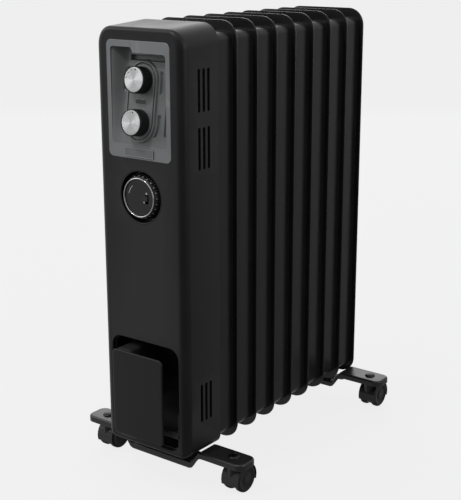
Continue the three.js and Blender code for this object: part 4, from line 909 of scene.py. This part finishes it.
# %% Feet
FOOT_TOP, FOOT_HALF_X, FOOT_SHEET, FOOT_FLANGE = 54.0, 145.0, 2.0, 9.5
FOOT_CORNER, FOOT_ROLL = 12, 3.0
DIP_HALF, RAMP_END, DIP_TOP = 54.0, 73.0, 34.5


def foot_shape(centre, dip):
    """Rings of the channel: the outline moved in, at a height that falls smoothly inside X = 73."""
    half_y = (high_corner("front_foot")[1] - low_corner("front_foot")[1]) / 2
    flat = rounded(-FOOT_HALF_X, FOOT_HALF_X, centre - half_y, centre + half_y,
                   FOOT_CORNER, arc=10, side=60)
    roll = FOOT_ROLL

    def ring(inset, drop):
        loop = flat.copy()
        normal = outward(flat)
        loop -= normal * inset
        top = FOOT_TOP - dip * (1 - smooth(np.abs(loop[:, 0]), DIP_HALF, RAMP_END))
        return level(loop, top - drop)

    turn = np.radians([0, 20, 45, 70, 90])
    outer = [ring(roll * (1 - math.sin(a)), roll * (1 - math.cos(a))) for a in turn]
    inner = [ring(FOOT_SHEET + (roll - FOOT_SHEET) * (1 - math.sin(a)) if a else roll,
                  FOOT_SHEET + (roll - FOOT_SHEET) * (1 - math.cos(a))) for a in turn]
    rings = outer + [ring(0, FOOT_FLANGE - 0.4), ring(0.4, FOOT_FLANGE)]
    rings += [ring(FOOT_SHEET - 0.4, FOOT_FLANGE), ring(FOOT_SHEET, FOOT_FLANGE - 0.4)] + inner[::-1]
    points, faces = skin(rings, caps=False)
    size = len(flat)
    return bridged(points, faces, size, len(rings))


def bridged(points, faces, size, count):
    """Closes the top and the underside with strips between points that face each other across Y."""
    near = np.arange(size)
    order = points[:size, 0]
    low_side = [k for k in near if points[k, 1] < np.mean(points[:size, 1])]
    high_side = [k for k in near if points[k, 1] > np.mean(points[:size, 1])]
    low_side.sort(key=lambda k: (order[k], -abs(points[k, 1])))
    high_side.sort(key=lambda k: order[k])
    pairs = min(len(low_side), len(high_side))
    for base in (0, (count - 1) * size):
        for k in range(pairs - 1):
            faces.append([base + low_side[k], base + low_side[k + 1],
                          base + high_side[k + 1], base + high_side[k]])
    return points, faces


for where in ("front", "rear"):
    node = f"{where}_foot"
    centre = (low_corner(node)[1] + high_corner(node)[1]) / 2
    add_piece(f"{where}_foot_channel", foot_shape(centre, FOOT_TOP - DIP_TOP), enamel, "heater", [node],
              "foot_paint")
    for side in ("left", "right"):
        stem = f"castor_stem_{where}_{side}"
        x = (low_corner(stem)[0] + high_corner(stem)[0]) / 2
        dome = [(3.9, -13.6), (3.9, 0.15), (8.0, 0.15), (8.0, 0.7), (7.6, 1.5), (6.4, 2.3), (4.4, 2.9),
                (2.2, 3.15), (0.4, 3.2)]
        add_piece(f"castor_stem_{where}_{side}_head",
                  skin(set_along(turned(dome, 40), (x, centre, FOOT_TOP), (0, 0, 1), (0, 1, 0))), black_zinc,
                  "heater", [stem], "zinc_steel", weighted=False)
print("feet and stems made")

# %% [markdown]
# Each castor has two hard wheels on one axle, under a hood. A wheel is a turned profile: a rounded
# tread, a dished outer face and a small hub cap.

# %% Castor wheels
WHEEL_RADIUS = 20.0
wheel_profile = np.array([
    (2.75, -4.5), (15.5, -4.5), (17.2, -4.5), (18.6, -4.2), (19.5, -3.4), (19.9, -2.2), (20.0, 0),
    (19.9, 2.2), (19.5, 3.4), (18.6, 4.2), (17.2, 4.5), (15.8, 4.5), (15.2, 4.3), (14.6, 4.0), (9.0, 3.8),
    (8.0, 3.9), (7.4, 4.3), (6.6, 4.45), (2.75, 4.45)])
wheel_names = [name for name in frame["nodes"] if name.startswith("castor_wheel_")]
for name in wheel_names:
    place = (low_corner(name) + high_corner(name)) / 2
    joint = name.replace("castor_wheel_", "wheel_roll_")
    axle = joint_place[joint]
    way = 1 if name.endswith("_right") else -1
    centre = np.array([place[0], axle[1], WHEEL_RADIUS])
    add_piece(f"{name}_turned", skin(set_along(turned(wheel_profile, 72), centre, (way, 0, 0)), closed=True),
              nylon, name, [name], "wheel_plastic", weighted=False)
print("wheels:", len(wheel_names))

# %% [markdown]
# The U-bolt that holds the rear foot is a bent rod. A round section carried along its path gives it,
# and each leg's thread is the same section with its radius rippled every 1.5 mm, drawn coarser than
# the real 1 mm so that it shows.

# %% U-bolt
bolt_low, bolt_high = low_corner("rear_foot_u_bolt"), high_corner("rear_foot_u_bolt")
ROD = 3.0
bolt_y = (bolt_low[1] + bolt_high[1]) / 2
leg_x = bolt_high[0] - ROD
crown_z = bolt_high[2] - ROD
turn = np.radians(np.linspace(0, 180, 49))
arch = np.stack([leg_x * np.cos(turn), crown_z - leg_x + leg_x * np.sin(turn)], axis=1)
leg = np.stack([np.full(80, leg_x), np.linspace(bolt_low[2], crown_z - leg_x, 80, endpoint=False)], axis=1)
rod_path = np.concatenate([leg, arch, leg[::-1] * [-1, 1]])
along = np.gradient(rod_path, axis=0)
along /= np.linalg.norm(along, axis=1, keepdims=True)
side = np.stack([along[:, 1], -along[:, 0]], axis=1)
thread = 0.22 * (0.5 + 0.5 * np.cos(2 * np.pi * rod_path[:, 1] / 1.5)) * smooth(-rod_path[:, 1], -34, -33)
spin = np.linspace(0, 2 * np.pi, 20, endpoint=False)
reach = (ROD - 0.02 - thread)[:, None]
rod_x = rod_path[:, :1] + side[:, :1] * reach * np.cos(spin)
rod_z = rod_path[:, 1:] + side[:, 1:] * reach * np.cos(spin)
rod_y = bolt_y + reach * np.sin(spin)
add_piece("rear_foot_bent_bolt", skin(np.stack([rod_x, rod_y, rod_z], axis=-1)), zinc, "heater",
          ["rear_foot_u_bolt"], "zinc_steel", weighted=False)
print("bolt crown at Z", round(bolt_high[2], 1))

# %% [markdown]
# Small inner parts keep the shapes they have and take the finish of their real material.

# %% Finishes of the carried-over nodes
finishes = {
    "fin_paint": enamel, "foot_paint": enamel, "housing_plastic": housing_plastic,
    "panel_plastic": panel_paint, "black_plastic": black_abs, "cap_aluminium": brushed,
    "badge_aluminium": brushed, "trim_chrome": chrome, "zinc_steel": zinc, "element_steel": tube_steel,
    "lens_plastic": lens, "brass": brass, "ceramic": ceramic, "gland_rubber": rubber,
    "wheel_plastic": nylon, "marking_plastic": white_print,
}
counted = 0
for name, node in frame["nodes"].items():
    for slot in node.material_slots:
        old = slot.material.name.split(".")[0]
        assert old in finishes, f"{name} has the slot {old}"
        slot.material = finishes[old]
        counted += 1
print("slots given a finish:", counted)

# %% [markdown]
# The floor is a large pale sheet, not part of the heater. It glows a little, as paper on a light table
# does, so only a soft shade lies under the heater. It is hidden from the heater's own reflections
# and from the light that falls on it, which come from the sky and the four lights alone.

# %% Studio floor
floor_mesh = bpy.data.meshes.new("studio_floor")
floor_mesh.from_pydata([(-30, -30, 0), (30, -30, 0), (30, 30, 0), (-30, 30, 0)], [], [(0, 1, 2, 3)])
floor = bpy.data.objects.new("studio_floor", floor_mesh)
bpy.context.scene.collection.objects.link(floor)
paper, tree, shader = start_material("backlit_paper")
shader.inputs["Base Color"].default_value = srgb("#4a4a4a")
shader.inputs["Roughness"].default_value = 1.0
shader.inputs["Specular IOR Level"].default_value = 0.0
shader.inputs["Emission Color"].default_value = srgb("#f1f1f1")
shader.inputs["Emission Strength"].default_value = 0.93
floor_mesh.materials.append(paper)
floor.visible_glossy = floor.visible_diffuse = False
